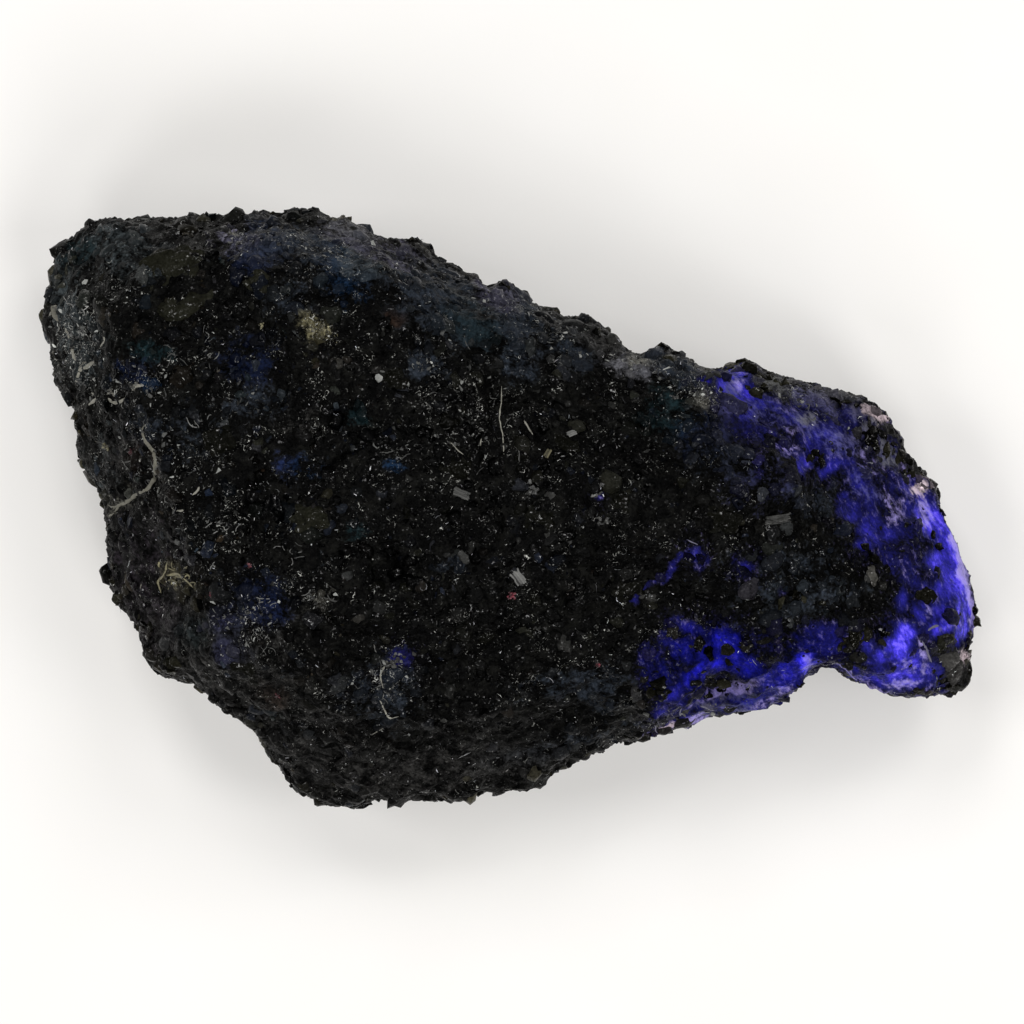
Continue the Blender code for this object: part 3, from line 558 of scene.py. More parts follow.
# A seam's row is its line of places, its half-width and its hue.
SEAMS = table(
    Seam,
    (((-18.2, 4.3), (-18.4, 4.0), (-18.2, 3.4), (-17.8, 2.9), (-17.7, 2.4), (-17.7, 1.7),
     (-18.0, 1.1), (-18.6, 0.8), (-19.1, 0.4), (-19.7, 0.1), (-20.1, 0.2)), 0.1, Hue.PUTTY),
    (((-19.5, 0.2), (-19.8, -0.2), (-20.1, -0.4)), 0.06, Hue.PUTTY),
    (((-21.6, 6.9), (-21.2, 7.1), (-20.7, 7.4)), 0.12, Hue.CREAM),
    (((-21.5, 6.9), (-21.6, 6.6), (-21.7, 6.3)), 0.07, Hue.CREAM),
    (((-21.9, 8.1), (-21.8, 7.7), (-21.6, 7.4)), 0.09, Hue.CREAM),
    (((-21.1, 5.2), (-20.8, 5.4), (-20.5, 5.7)), 0.08, Hue.CREAM),
    (((-20.1, 5.6), (-19.8, 5.3), (-19.4, 5.4), (-19.2, 5.6)), 0.1, Hue.CREAM),
    (((-18.9, 5.9), (-18.7, 6.2), (-18.3, 6.2)), 0.08, Hue.CREAM),
    (((-18.2, 6.0), (-18.0, 5.8), (-17.9, 5.5)), 0.1, Hue.STEEL),
    (((-22.9, 10.2), (-22.8, 9.8), (-22.5, 9.4)), 0.12, Hue.PUTTY),
    (((-22.2, 9.1), (-22.1, 8.8), (-22.0, 8.5)), 0.09, Hue.CREAM),
    (((-14.4, 13.4), (-14.1, 13.8), (-13.6, 14.0)), 0.09, Hue.LILAC),
    (((-16.9, 0.1), (-16.6, -0.1), (-16.2, 0.0)), 0.05, Hue.CREAM),
    (((-15.5, 1.2), (-15.6, 0.9), (-15.9, 0.7)), 0.05, Hue.CREAM),
    (((-20.3, 8.7), (-20.2, 8.4), (-20.5, 8.1)), 0.05, Hue.CREAM),
    (((-17.1, -2.6), (-17.2, -3.2), (-17.6, -3.6), (-17.4, -4.2)), 0.06, Hue.YELLOW),
    (((-17.2, -3.3), (-16.6, -3.2), (-16.1, -3.6), (-15.8, -3.9)), 0.07, Hue.YELLOW),
    (((-18.4, -3.7), (-18.5, -4.1), (-18.4, -4.4)), 0.04, Hue.CREAM),
    (((-0.4, 6.2), (-0.4, 5.5), (-0.5, 4.5), (-0.3, 3.5), (-0.3, 2.7)), 0.03, Hue.CREAM),
    (((0.7, 4.5), (1.0, 4.0), (1.2, 3.7)), 0.04, Hue.CREAM),
    (((-1.4, 3.6), (-1.5, 3.1)), 0.03, Hue.CREAM),
    (((-3.0, 3.4), (-2.6, 3.0), (-2.3, 2.7)), 0.03, Hue.CREAM),
    (((20.9, -6.1), (21.1, -5.9), (21.5, -5.8)), 0.07, Hue.LILAC),
    (((20.6, -6.5), (20.9, -7.1), (21.1, -7.7)), 0.05, Hue.LILAC),
    (((-6.5, -9.5), (-6.2, -10.1), (-6.0, -10.5), (-5.5, -10.3)), 0.04, Hue.CREAM),
    (((-6.3, -9.0), (-6.5, -8.3), (-6.1, -7.5)), 0.04, Hue.CREAM),
    (((-6.9, -11.3), (-6.3, -10.9)), 0.03, Hue.CREAM),
    (((8.8, -1.5), (9.5, -1.8)), 0.03, Hue.LILAC),
    (((7.7, -11.6), (9.0, -10.9), (10.3, -10.4)), 0.04, Hue.LILAC),
    (((9.5, -9.8), (10.3, -10.1)), 0.05, Hue.LILAC),
)
# A tangle's row ends with its number of threads, their half-width and its hue.
TANGLES = table(
    Tangle,
    (-16.6, -3.4, 1.0, 0.7, -30, 9, 0.028, Hue.YELLOW),
    (-18.6, 2.6, 1.4, 1.4, 0, 16, 0.028, Hue.STEEL),
    (-6.2, -8.7, 1.2, 1.5, 0, 12, 0.024, Hue.STEEL),
    (-9.6, -4.5, 0.9, 0.8, 0, 10, 0.028, Hue.STEEL),
    (-14.3, -1.1, 0.5, 0.6, -50, 8, 0.02, Hue.QUARTZ),
    (-16.6, -1.8, 0.4, 0.4, 0, 4, 0.019, Hue.QUARTZ),
    (-10.8, -2.2, 0.8, 0.5, -40, 7, 0.019, Hue.QUARTZ),
    (-12.5, -4.5, 0.6, 0.4, 0, 7, 0.021, Hue.QUARTZ),
    (-14.3, -5.5, 0.4, 0.4, 0, 4, 0.019, Hue.QUARTZ),
    (-12.2, -6.5, 0.35, 0.7, 0, 6, 0.02, Hue.QUARTZ),
    (-15.7, 4.2, 0.5, 0.4, 0, 5, 0.018, Hue.QUARTZ),
    (-15.0, 7.4, 0.5, 0.3, 0, 4, 0.018, Hue.QUARTZ),
    (-16.9, 7.8, 0.6, 0.3, -20, 6, 0.019, Hue.STEEL),
    (-15.0, 8.8, 0.4, 0.3, 0, 3, 0.018, Hue.QUARTZ),
    (-21.6, 8.0, 0.6, 1.2, 10, 10, 0.024, Hue.QUARTZ),
    (-21.9, 10.2, 0.7, 0.7, 0, 7, 0.023, Hue.QUARTZ),
    (-2.6, 4.6, 3.2, 2.2, 0, 18, 0.024, Hue.STEEL),
    (9.0, -10.2, 2.4, 0.6, 14, 12, 0.026, Hue.LILAC),
)
# A blade's row ends with its number of ribs and its hue.
BLADES = table(
    Blade,
    (13.4, -0.5, 0.66, 0.24, 8, 7, Hue.STEEL), (0.45, -3.4, 0.42, 0.26, -52, 7, Hue.QUARTZ),
    (-2.4, 0.8, 0.42, 0.18, -25, 4, Hue.STEEL), (1.9, 2.8, 0.26, 0.1, 60, 3, Hue.YELLOW),
    (3.1, 3.8, 0.28, 0.13, 25, 4, Hue.QUARTZ),
)


@dataclass(frozen=True)
class Eye:
    """The place above the stone from which plan places are read."""

    x: float = 0.125
    y: float = -0.125
    girdle: float = 5.0
    height: float = 400.0

    def seen(self, points: Array) -> Array:
        """Where points show in plan, at the girdle's height.

        Args:
            points: The points, one row each.

        Returns:
            Their places in plan, one row each.
        """
        near = self.height / (self.height - (points[:, 2] - self.girdle))
        middle = np.array((self.x, self.y))
        return middle + (points[:, :2] - middle) * near[:, None]

    def sight(self, x: float, y: float) -> Spot:
        """The start and direction of the line of sight through a place in plan."""
        start = Vector((self.x, self.y, self.girdle + self.height))
        return start, (Vector((x, y, self.girdle)) - start).normalized()


EYE = Eye()


@dataclass(frozen=True)
class Colouring:
    """What colour and cover each part of the stone has, painted from the plan."""

    ragged: float = 0.24
    finely_ragged: float = 0.12
    wildness: float = 5.0
    swing: float = 1.0
    window_edge: float = 0.7
    patch_edge: float = 0.6
    stone_edge: float = 0.45
    smooth_edge: float = 0.4
    halo_reach: float = 0.9
    halo_level: float = 0.24
    dust_and_glint_edge: float = 0.7
    # The thin level of dust and painted glint that lies everywhere, less to the east.
    thin_dust_and_glint: float = 0.16

    def steep(self, normals: Array) -> Array:
        """How steep the surface is: 0 where it faces up and 1 where it is upright."""
        return 1.0 - eased(normals[:, 2], 0.1, 0.6)

    def ragged_plan(self, points: Array, normals: Array) -> Array:
        """The points in plan, pushed about so that painted edges come out ragged.

        On steep sides they are pushed further, so that no patch runs straight down.

        Args:
            points: The places on the stone, one row each.
            normals: The surface normals there.

        Returns:
            Two numbers for each place.
        """
        push = np.stack(
            [
                noise_at(points, 0.9, broad) * self.ragged
                + noise_at(points, 0.35, fine) * self.finely_ragged
                for broad, fine in ((11.0, 5.0), (47.0, 71.0))
            ],
            axis=1,
        )
        wild = 1.0 + self.wildness * eased(EYE.girdle - points[:, 2], 0.0, 3.5)
        swing = np.stack([noise_at(points, 2.4, shift) for shift in (131.0, 157.0)], axis=1)
        low = eased(EYE.girdle + 1.0 - points[:, 2], 0.0, 2.0)
        reach = self.swing * self.steep(normals) * (1.0 + 1.5 * low)
        return EYE.seen(points) + push * wild[:, None] + swing * reach[:, None]

    def unbroken(self, points: Array, normals: Array) -> Array:
        """How much of its paint each place keeps.

        Args:
            points: The places on the stone, one row each.
            normals: The surface normals there.

        Returns:
            1 on top of the stone, and less in gaps on its steep sides.
        """
        low = eased(EYE.girdle + 1.5 - points[:, 2], 0.0, 2.5)
        patchy = noise_at(points, 1.5, 211.0) + 0.6 * noise_at(points, 0.7, 223.0)
        return 1.0 - 0.85 * self.steep(normals) * low * (1.0 - eased(patchy, -0.15, 0.3))

    def rim(self, points: Array, normals: Array) -> Array:
        """How far each place lies on the stone's widest edge.

        Args:
            points: The places on the stone, one row each.
            normals: The surface normals there.

        Returns:
            From 0 to 1, in drifts along the edge.
        """
        upright = 1.0 - eased(np.abs(normals[:, 2]), 0.15, 0.5)
        band = 1.0 - eased(np.abs(points[:, 2] - EYE.girdle - 0.5), 1.0, 3.0)
        return upright * band * eased(noise_at(points, 1.8, 97.0), -0.4, 0.3)

    def shine(self, plan: Array, ovals: Sequence[Window], streaks: Sequence[Streak]) -> Array:
        """How strongly the ovals and streaks show.

        Args:
            plan: The places in plan, one row each.
            ovals: The ovals.
            streaks: The streaks.

        Returns:
            The strongest level that any of them gives each place.
        """
        levels = [oval.share(plan, self.window_edge) * oval.glow for oval in ovals]
        levels += [streak.share(plan) * streak.glow for streak in streaks]
        return strongest(levels)

    def halo(self, plan: Array) -> Array:
        """The dim light that spreads round the windows.

        Args:
            plan: The places in plan, one row each.

        Returns:
            Its level at each place.
        """
        reach = self.halo_reach
        return self.halo_level * strongest(
            window.grown(reach).share(plan, reach) * window.glow for window in WINDOWS
        )

    def glow(self, plan: Array) -> Array:
        """How much violet light comes through at each place, from 0 to 1."""
        return np.maximum(self.shine(plan, WINDOWS, STREAKS), self.halo(plan))

    def veil(self, plan: Array) -> Array:
        """How much pale film and painted sheen lies over each place, from 0 to 1."""
        return self.shine(plan, VEILS_AND_SHEEN, VEIL_AND_SHEEN_STREAKS)

    def hollow(self, points: Array) -> Array:
        """How deep the skin sinks in at each point, in millimetres."""
        plan = EYE.seen(points)
        return strongest(oval.share(plan, self.window_edge) * oval.depth for oval in HOLLOWS)

    def dust(self, plan: Array) -> Array:
        """How much pale dust lies on the crust, and how common the painted glints of the flecks are
        there.

        Args:
            plan: The places in plan, one row each.

        Returns:
            From 0 to about 1 for each place: little in the smooth band and to the east.
        """
        smooth = 1.0 - 0.7 * SMOOTH_BAND.share(plan, self.smooth_edge)
        thin = self.thin_dust_and_glint * (1.0 - 0.7 * eased(plan[:, 0], 4.0, 14.0)) * smooth
        levels = [patch.share(plan, self.dust_and_glint_edge) * patch.level for patch in DUST_AND_GLINT]
        return strongest([*levels, thin])

    def bed(self, plan: Array) -> tuple[Array, Array]:
        """The colour of the dull patches and how strongly it shows.

        Args:
            plan: The places in plan, one row each.

        Returns:
            A linear colour for each place, and its weight from 0 to 1.
        """
        colour = np.zeros((len(plan), 3))
        weight = np.zeros(len(plan))
        for patch in PATCHES:
            share = patch.share(plan, self.patch_edge) * patch.level
            colour += (patch.hue.light - colour) * share[:, None]
            weight = weight + (1.0 - weight) * share
        return colour / np.maximum(weight, 1e-6)[:, None], weight

    def stones(self, plan: Array) -> Array:
        """How far each place lies on one of the rounded stones in the crust, from 0 to 1."""
        return strongest(stone.share(plan, self.stone_edge) for stone in STONES)

    def cover(self, glow: Array, bed: Array, plan: Array) -> Array:
        """The share of crust grains.

        Args:
            glow: How much violet light comes through at each place.
            bed: How strongly a dull patch shows there.
            plan: The places in plan, one row each.

        Returns:
            From 0 in a clear window to 1, for each place.
        """
        parts = (SMOOTH_BAND, SMOOTH_CORNER)
        calm = 1.0 - 0.45 * strongest(part.share(plan, self.smooth_edge) for part in parts)
        bare = 1.0 - 0.4 * self.stones(plan)
        return (1.0 - 0.93 * eased(glow, 0.08, 0.36)) * (1.0 - 0.3 * bed) * calm * bare


class Value:
    """A number, colour or vector that flows through a material; arithmetic adds Math nodes."""

    def __init__(self, nodes: "Nodes", socket: bpy.types.NodeSocket) -> None:
        """Wraps the output socket of a node."""
        self.nodes = nodes
        self.socket = socket

    def _math(self, operation: str, first: "Feed", second: "Feed") -> "Value":
        """One Math node on two numbers."""
        return self.nodes.add("ShaderNodeMath", {"operation": operation}, {0: first, 1: second})

    def __add__(self, other: "Feed") -> "Value":
        """self + other."""
        return self._math("ADD", self, other)

    def __radd__(self, other: "Feed") -> "Value":
        """other + self."""
        return self._math("ADD", other, self)

    def __sub__(self, other: "Feed") -> "Value":
        """self - other."""
        return self._math("SUBTRACT", self, other)

    def __rsub__(self, other: "Feed") -> "Value":
        """other - self."""
        return self._math("SUBTRACT", other, self)

    def __mul__(self, other: "Feed") -> "Value":
        """self * other."""
        return self._math("MULTIPLY", self, other)

    def __rmul__(self, other: "Feed") -> "Value":
        """other * self."""
        return self._math("MULTIPLY", other, self)


Feed = Value | float | tuple[float, ...]
Stops = tuple[tuple[float, Triple], ...]
# The colour of the flecks: partly pale mineral, partly painted glint.
PALE_FLECK = paint(196, 196, 190)


class Nodes:
    """The node tree of one material, built node by node."""

    def __init__(self, name: str) -> None:
        """Starts a material with its Principled shader.

        Args:
            name: The material's name.
        """
        self.material = bpy.data.materials.new(name)
        self.material.use_nodes = True
        self.tree = self.material.node_tree
        self.shader = self.tree.nodes["Principled BSDF"]

    def feed(self, socket: bpy.types.NodeSocket, value: Feed) -> None:
        """Links a flowing value to a socket, or sets a fixed one on it.

        Args:
            socket: The input socket.
            value: The value.
        """
        if isinstance(value, Value):
            self.tree.links.new(value.socket, socket)
        else:
            socket.default_value = value

    def add(
        self,
        kind: str,
        settings: dict[str, object] | None = None,
        inputs: dict[str | int, Feed] | None = None,
        out: str | int = 0,
    ) -> Value:
        """One node.

        Args:
            kind: The node's type.
            settings: Its own settings, set first; stops are a ramp's places and colours.
            inputs: The values or links of its sockets.
            out: The output that is wanted.

        Returns:
            That output.
        """
        node = self.tree.nodes.new(kind)
        for key, value in (settings or {}).items():
            if key == "stops":
                self._fill_ramp(node.color_ramp, value)
            else:
                setattr(node, key, value)
        for key, value in (inputs or {}).items():
            self.feed(node.inputs[key], value)
        return Value(self, node.outputs[out])

    def _fill_ramp(self, ramp: bpy.types.ColorRamp, stops: Stops) -> None:
        """Gives a colour ramp its stops.

        Args:
            ramp: The ramp.
            stops: The places on it, each with its display colour.
        """
        while len(ramp.elements) < len(stops):
            ramp.elements.new(1.0)
        for element, (place, colour) in zip(ramp.elements, stops):
            element.position = place
            element.color = paint(*colour)

    def place(self, stretch: Triple = (1.0, 1.0, 1.0), turn: float = 0.0) -> Value:
        """The point on the object in millimetres.

        Args:
            stretch: How many times longer along each axis what is drawn there comes out.
            turn: How far it is turned about +Z, in degrees.

        Returns:
            The point as a vector.
        """
        spot = self.add("ShaderNodeTexCoord", out="Object")
        turned = self.add(
            "ShaderNodeMapping",
            {"vector_type": "POINT"},
            {"Vector": spot, "Rotation": (0.0, 0.0, math.radians(-turn))},
        )
        return self.times(turned, tuple(1.0 / (MM * share) for share in stretch))

    def times(self, vector: Value, shares: Triple) -> Value:
        """The vector or colour with each of its numbers times its own share."""
        return self.add("ShaderNodeVectorMath", {"operation": "MULTIPLY"}, {0: vector, 1: shares})

    def dimmed(self, colour: Value, share: Feed) -> Value:
        """The colour times one number."""
        inputs = {0: colour, "Scale": share}
        return self.add("ShaderNodeVectorMath", {"operation": "SCALE"}, inputs)

    def noise(self, spot: Value, width: float, detail: float = 3.0, rough: float = 0.55) -> Value:
        """Noise from 0 to 1, whose swells are about that wide."""
        inputs = {"Vector": spot, "Scale": 1.0 / width, "Detail": detail, "Roughness": rough}
        return self.add("ShaderNodeTexNoise", {"normalize": True}, inputs, "Fac")

    def ease(self, value: Feed, low: float, high: float) -> Value:
        """0 below low, 1 above high, and a smooth rise between."""
        inputs = {"Value": value, "From Min": low, "From Max": high}
        return self.add("ShaderNodeMapRange", {"interpolation_type": "SMOOTHSTEP"}, inputs)

    def ramp(self, value: Feed, stops: Stops) -> Value:
        """The colour that the stops give for a number."""
        return self.add("ShaderNodeValToRGB", {"stops": stops}, {"Fac": value})

    def blend(self, share: Feed, first: Feed, second: Feed) -> Value:
        """A mix of two colours: the first at share 0 and the second at share 1."""
        return self.add("ShaderNodeMix", {"data_type": "RGBA"}, {0: share, 6: first, 7: second}, 2)

    def stored(self, name: str, out: str = "Fac") -> Value:
        """What is stored on the mesh under a name: a number, a Color, or a colour's Alpha."""
        return self.add("ShaderNodeAttribute", {"attribute_name": name}, out=out)

    def flecks(self, spot: Value, more: Feed) -> Value:
        """Pale specks and broken curved hairs in the base colour: partly pale mineral specks,
        partly painted glints where a crust catches light.

        Args:
            spot: The place in millimetres.
            more: How much commoner they are here, from 0 to 1.

        Returns:
            From 0 between them to 1 on them.
        """
        zone = self.ease(self.noise(spot, 1.1, 4.0, 0.8) + more * 0.2, 0.52, 0.70)
        speck = self.ease(self.noise(spot, 0.085, 2.0, 0.8) + zone * 0.07, 0.68, 0.80)
        bend = self.noise(spot, 0.4, 1.0)
        hair = self.ease(bend, 0.480, 0.496) * (1.0 - self.ease(bend, 0.504, 0.520))
        broken = self.ease(self.noise(spot, 0.25, 2.0, 0.6) + zone * 0.06, 0.56, 0.68)
        return (speck + hair * broken * (1.0 - speck)) * zone

    def finish(self, **feeds: Feed) -> bpy.types.Material:
        """Ends the material by feeding its Principled shader.

        Args:
            feeds: The values, by socket name with _ for each space.

        Returns:
            The material.
        """
        for name, value in feeds.items():
            self.feed(self.shader.inputs[name.replace("_", " ")], value)
        return self.material

    def bumped(self, height: Value, rise: float, strength: float = 1.0) -> Value:
        """A normal for a surface whose height of 1 is that rise in millimetres."""
        inputs = {"Strength": strength, "Distance": rise * MM, "Height": height}
        return self.add("ShaderNodeBump", inputs=inputs)


@dataclass(frozen=True)
class SkinFinish:
    """Black crust with dull patches, and violet windows with streaks and specks that glow with
    painted light of their own.
    """

    lay: float = -62.0
    # Painted glow: the windows give off light of their own at this strength, in place of light
    # shining through the stone.
    lit: float = 0.16
    crust: Stops = (
        (0.34, (1, 1, 1)),
        (0.48, (3, 3, 3)),
        (0.56, (11, 11, 10)),
        (0.64, (22, 22, 20)),
        (0.71, (34, 34, 33)),
        (0.78, (12, 15, 21)),
    )
    violet: Stops = (
        (0.02, (3, 3, 3)),
        (0.10, (8, 8, 22)),
        (0.20, (14, 14, 52)),
        (0.34, (21, 21, 80)),
        (0.50, (31, 30, 116)),
        (0.66, (44, 39, 154)),
        (0.84, (66, 57, 208)),
        (1.00, (104, 88, 232)),
    )
    pure_blue: Triple = (0.35, 0.42, 1.0)
    # The pale lilac of the film and its painted sheen.
    film_and_sheen: Triple = (168, 156, 222)

    def ground(self, nodes: Nodes, spot: Value, fine: Value, streaks: Value) -> Value:
        """The black crust with its dull patches.

        Args:
            nodes: The material's nodes.
            spot: The place in millimetres.
            fine: Fine noise.
            streaks: Noise drawn out along the lay.

        Returns:
            The crust's colour.
        """
        mottle = nodes.noise(spot, 0.9, 4.0, 0.68)
        crust = nodes.ramp(mottle * 0.7 + fine * 0.3, self.crust)
        bed = nodes.stored("bed") + (fine - 0.5) * 1.0 + (mottle - 0.5) * 2.6
        level = (mottle + streaks + fine - 1.1) * 1.35
        patch = nodes.dimmed(nodes.stored("bed_colour", "Color"), level)
        return nodes.blend(nodes.ease(bed, 0.2, 1.0), crust, patch)

    def light(self, nodes: Nodes, fine: Value, streaks: Value) -> Value:
        """The light that comes through where the crust is thin.

        Args:
            nodes: The material's nodes.
            fine: Fine noise.
            streaks: Noise drawn out along the lay.

        Returns:
            The light's colour, violet under a pale film with painted sheen in places.
        """
        blotch = nodes.noise(nodes.place((1.5, 0.8, 1.0), self.lay), 0.8, 4.0, 0.72)
        depth = nodes.stored("glow") * (blotch * 2.4 - 0.3) + (streaks - 0.5) * 0.3
        light = nodes.ramp(depth + (fine - 0.5) * 0.3, self.violet)
        deep = nodes.stored("deep")
        light = nodes.blend(deep, light, nodes.times(light, self.pure_blue))
        # Pale film over the windows, partly a painted sheen.
        film_and_sheen = nodes.ease(nodes.stored("veil") + (streaks - 0.5) * 2.2, 0.1, 0.9)
        patched = nodes.ease(nodes.stored("bed"), 0.2, 0.6)
        tone = nodes.blend(patched, paint(*self.film_and_sheen), nodes.stored("bed_colour", "Color"))
        return nodes.blend(film_and_sheen * (0.7 - deep * 0.5), light, tone)

    def material(self) -> bpy.types.Material:
        """Makes the skin's material.

        Returns:
            The material, which reads glow, veil, bed, dust, deep and bed_colour on the mesh.
        """
        nodes = Nodes("crusted_corundum")
        spot = nodes.place()
        fine = nodes.noise(spot, 0.16, 3.0)
        streaks = nodes.noise(nodes.place((1.5, 0.85, 1.1), self.lay), 0.34, 4.0, 0.7)
        thin = nodes.stored("glow") + nodes.stored("veil")
        window = nodes.ease(thin + (fine - 0.5) * 0.3, 0.04, 0.24)
        light = self.light(nodes, fine, streaks)
        colour = nodes.blend(window, self.ground(nodes, spot, fine, streaks), light)
        # Pale flecks over the crust, partly painted glints.
        flecks = nodes.flecks(spot, nodes.stored("dust"))
        return nodes.finish(
            Base_Color=nodes.blend(flecks * (0.9 - window * 0.75), colour, PALE_FLECK),
            Roughness=nodes.ease(fine + streaks * 0.5, 0.5, 0.95) * 0.3 + 0.1,
            Specular_IOR_Level=0.02,
            IOR=1.5,
            Coat_Weight=nodes.ease(fine, 0.60, 0.67) * 0.25,
            Coat_Roughness=0.14,
            # Painted glow: the windows and their film give off their own light.
            Emission_Color=nodes.dimmed(light, window),
            Emission_Strength=self.lit,
            Normal=nodes.bumped(fine * 0.8 + streaks * 0.4, 0.08, 0.9),
        )


@dataclass(frozen=True)
class MineralFinish:
    """A mineral that takes its colour from each grain and varies finely over it."""

    name: str
    rough: float
    contrast: float
    shine: float
    rise: float
    flecked: float = 0.0
    glitter: float = 0.0

    def material(self) -> bpy.types.Material:
        """Makes the mineral's material.

        Returns:
            The material, which reads tint on the mesh.
        """
        nodes = Nodes(self.name)
        spot = nodes.place()
        fine = nodes.noise(spot, 0.12, 3.0, 0.65)
        broad = nodes.noise(spot, 0.5, 2.0)
        shade = 1.0 + (fine - 0.5) * (3.0 * self.contrast) + (broad - 0.5) * (2.0 * self.contrast)
        colour = nodes.dimmed(nodes.stored("tint", "Color"), shade)
        # Pale flecks over the grain, partly painted glints.
        if self.flecked:
            flecks = nodes.flecks(spot, nodes.stored("tint", "Alpha"))
            colour = nodes.blend(flecks * self.flecked, colour, PALE_FLECK)
        return nodes.finish(
            Base_Color=colour,
            Roughness=self.rough + (broad - 0.5) * 0.2,
            Specular_IOR_Level=self.shine,
            Coat_Weight=nodes.ease(fine + broad * 0.4, 0.76, 0.84) * self.glitter,
            Coat_Roughness=0.12,
            Normal=nodes.bumped(fine, self.rise, 0.8),
        )


@dataclass(frozen=True)
class PaperFinish:
    """Pale paper with a faint tooth and a slight light of its own."""

    dull: Triple = (208, 206, 203)
    bright: Triple = (214, 213, 212)
    lit: float = 0.22

    def material(self) -> bpy.types.Material:
        """Makes the paper's material.

        Returns:
            The material.
        """
        nodes = Nodes("pale_paper")
        spot = nodes.place()
        tooth = nodes.noise(spot, 0.5, 3.0)
        cloud = nodes.noise(spot, 14.0, 2.0)
        return nodes.finish(
            Base_Color=nodes.blend(cloud, paint(*self.dull), paint(*self.bright)),
            Roughness=0.85 + (tooth - 0.5) * 0.1,
            Specular_IOR_Level=0.1,
            Emission_Color=paint(255, 253, 250),
            Emission_Strength=self.lit,
            Normal=nodes.bumped(tooth, 0.03, 0.3),
        )


class Surface:
    """Triangles that pieces are laid on."""

    def __init__(self, points: Array, faces: Array) -> None:
        """Makes a surface ready for finding places.

        Args:
            points: Its points, one row each.
            faces: Its triangles, each as three points' numbers.
        """
        self.points = points
        self.faces = faces
        self.tree = BVHTree.FromPolygons(points.tolist(), faces.tolist())
        corners = points[faces]
        crossed = np.cross(corners[:, 1] - corners[:, 0], corners[:, 2] - corners[:, 0])
        doubled = np.linalg.norm(crossed, axis=1)
        self.areas = doubled / 2.0
        self.normals = crossed / np.maximum(doubled, 1e-12)[:, None]

    def under(self, x: float, y: float) -> Spot | None:
        """The point and normal that show at a place in plan.

        Args:
            x: The place's x.
            y: The place's y.

        Returns:
            The point and its normal, or None beside the stone.
        """
        start, way = EYE.sight(x, y)
        point, normal, _, _ = self.tree.ray_cast(start, way)
        return None if point is None else (point, normal)

    def shown(self, plan: Array) -> list[Spot]:
        """The points and normals that show at places in plan, with none beside the stone."""
        spots = (self.under(x, y) for x, y in plan.tolist())
        return [spot for spot in spots if spot is not None]

    def outermost(self, point: Vector, normal: Vector, reach: float) -> Spot:
        """The outermost surface within reach above a point, and its normal."""
        found, facing, _, _ = self.tree.ray_cast(point + normal * reach, -normal, reach * 1.5)
        return (point, normal) if found is None else (found, facing)

    def scatter(self, count: int, rng: np.random.Generator) -> tuple[Array, Array]:
        """Random places, evenly over the surface.

        Args:
            count: How many.
            rng: The source of chance.

        Returns:
            The points and their normals, one row each.
        """
        chances = self.areas / self.areas.sum()
        picks = rng.choice(len(self.faces), count, p=chances)
        first, second = rng.random(count), rng.random(count)
        over = first + second > 1.0
        first[over], second[over] = 1.0 - first[over], 1.0 - second[over]
        a, b, c = (self.points[self.faces[picks, k]] for k in range(3))
        spots = a + (b - a) * first[:, None] + (c - a) * second[:, None]
        return spots, self.normals[picks]


def split(spots: Sequence[Spot]) -> tuple[Array, Array]:
    """The points and the normals of some spots, one row each."""
    return np.array([point for point, _ in spots]), np.array([normal for _, normal in spots])


@dataclass
class Heap:
    """Loose shapes gathered into one mesh, each point with a tint and perhaps its level of dust and
    painted glint.
    """

    points: list[Array] = field(default_factory=list)
    faces: list[Array] = field(default_factory=list)
    tints: list[Array] = field(default_factory=list)
    size: int = 0

    def add(self, points: Array, faces: Array, tints: Array) -> None:
        """Adds a shape.

        Args:
            points: Its points, one row each.
            faces: The triangles between them.
            tints: A colour for each point.
        """
        self.points.append(points)
        self.faces.append(faces + self.size)
        self.tints.append(tints)
        self.size += len(points)

    def joined(self) -> tuple[Array, Array]:
        """All points and all triangles."""
        return np.concatenate(self.points), np.concatenate(self.faces)

    def build(self, name: str, finish: MineralFinish, sharp: float | None = None) -> None:
        """Makes and shows the piece.

        Args:
            name: The piece's name.
            finish: What it is made of.
            sharp: Edges over this angle in degrees stay sharp; None leaves all faces flat.
        """
        points, faces = self.joined()
        points[:, 2] = np.maximum(points[:, 2], OFF_FLOOR)
        mesh = bpy.data.meshes.new(name)
        mesh.from_pydata((points * MM).tolist(), [], faces.tolist())
        tints = np.concatenate(self.tints)
        if tints.shape[1] == 3:
            tints = np.column_stack([tints, np.zeros(len(tints))])
        store_colours(mesh, "tint", tints)
        if sharp is not None:
            mesh.shade_smooth()
            mesh.set_sharp_from_angle(angle=math.radians(sharp))
        mesh.materials.append(finish.material())
        put(bpy.data.objects.new(name, mesh))


def put(piece: bpy.types.Object) -> None:
    """Shows the piece and lets it ride on the stone's body.

    Args:
        piece: The piece.
    """
    bpy.context.scene.collection.objects.link(piece)
    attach(piece, BODY)
    LOG.info("%s: %d faces", piece.name, len(piece.data.polygons))


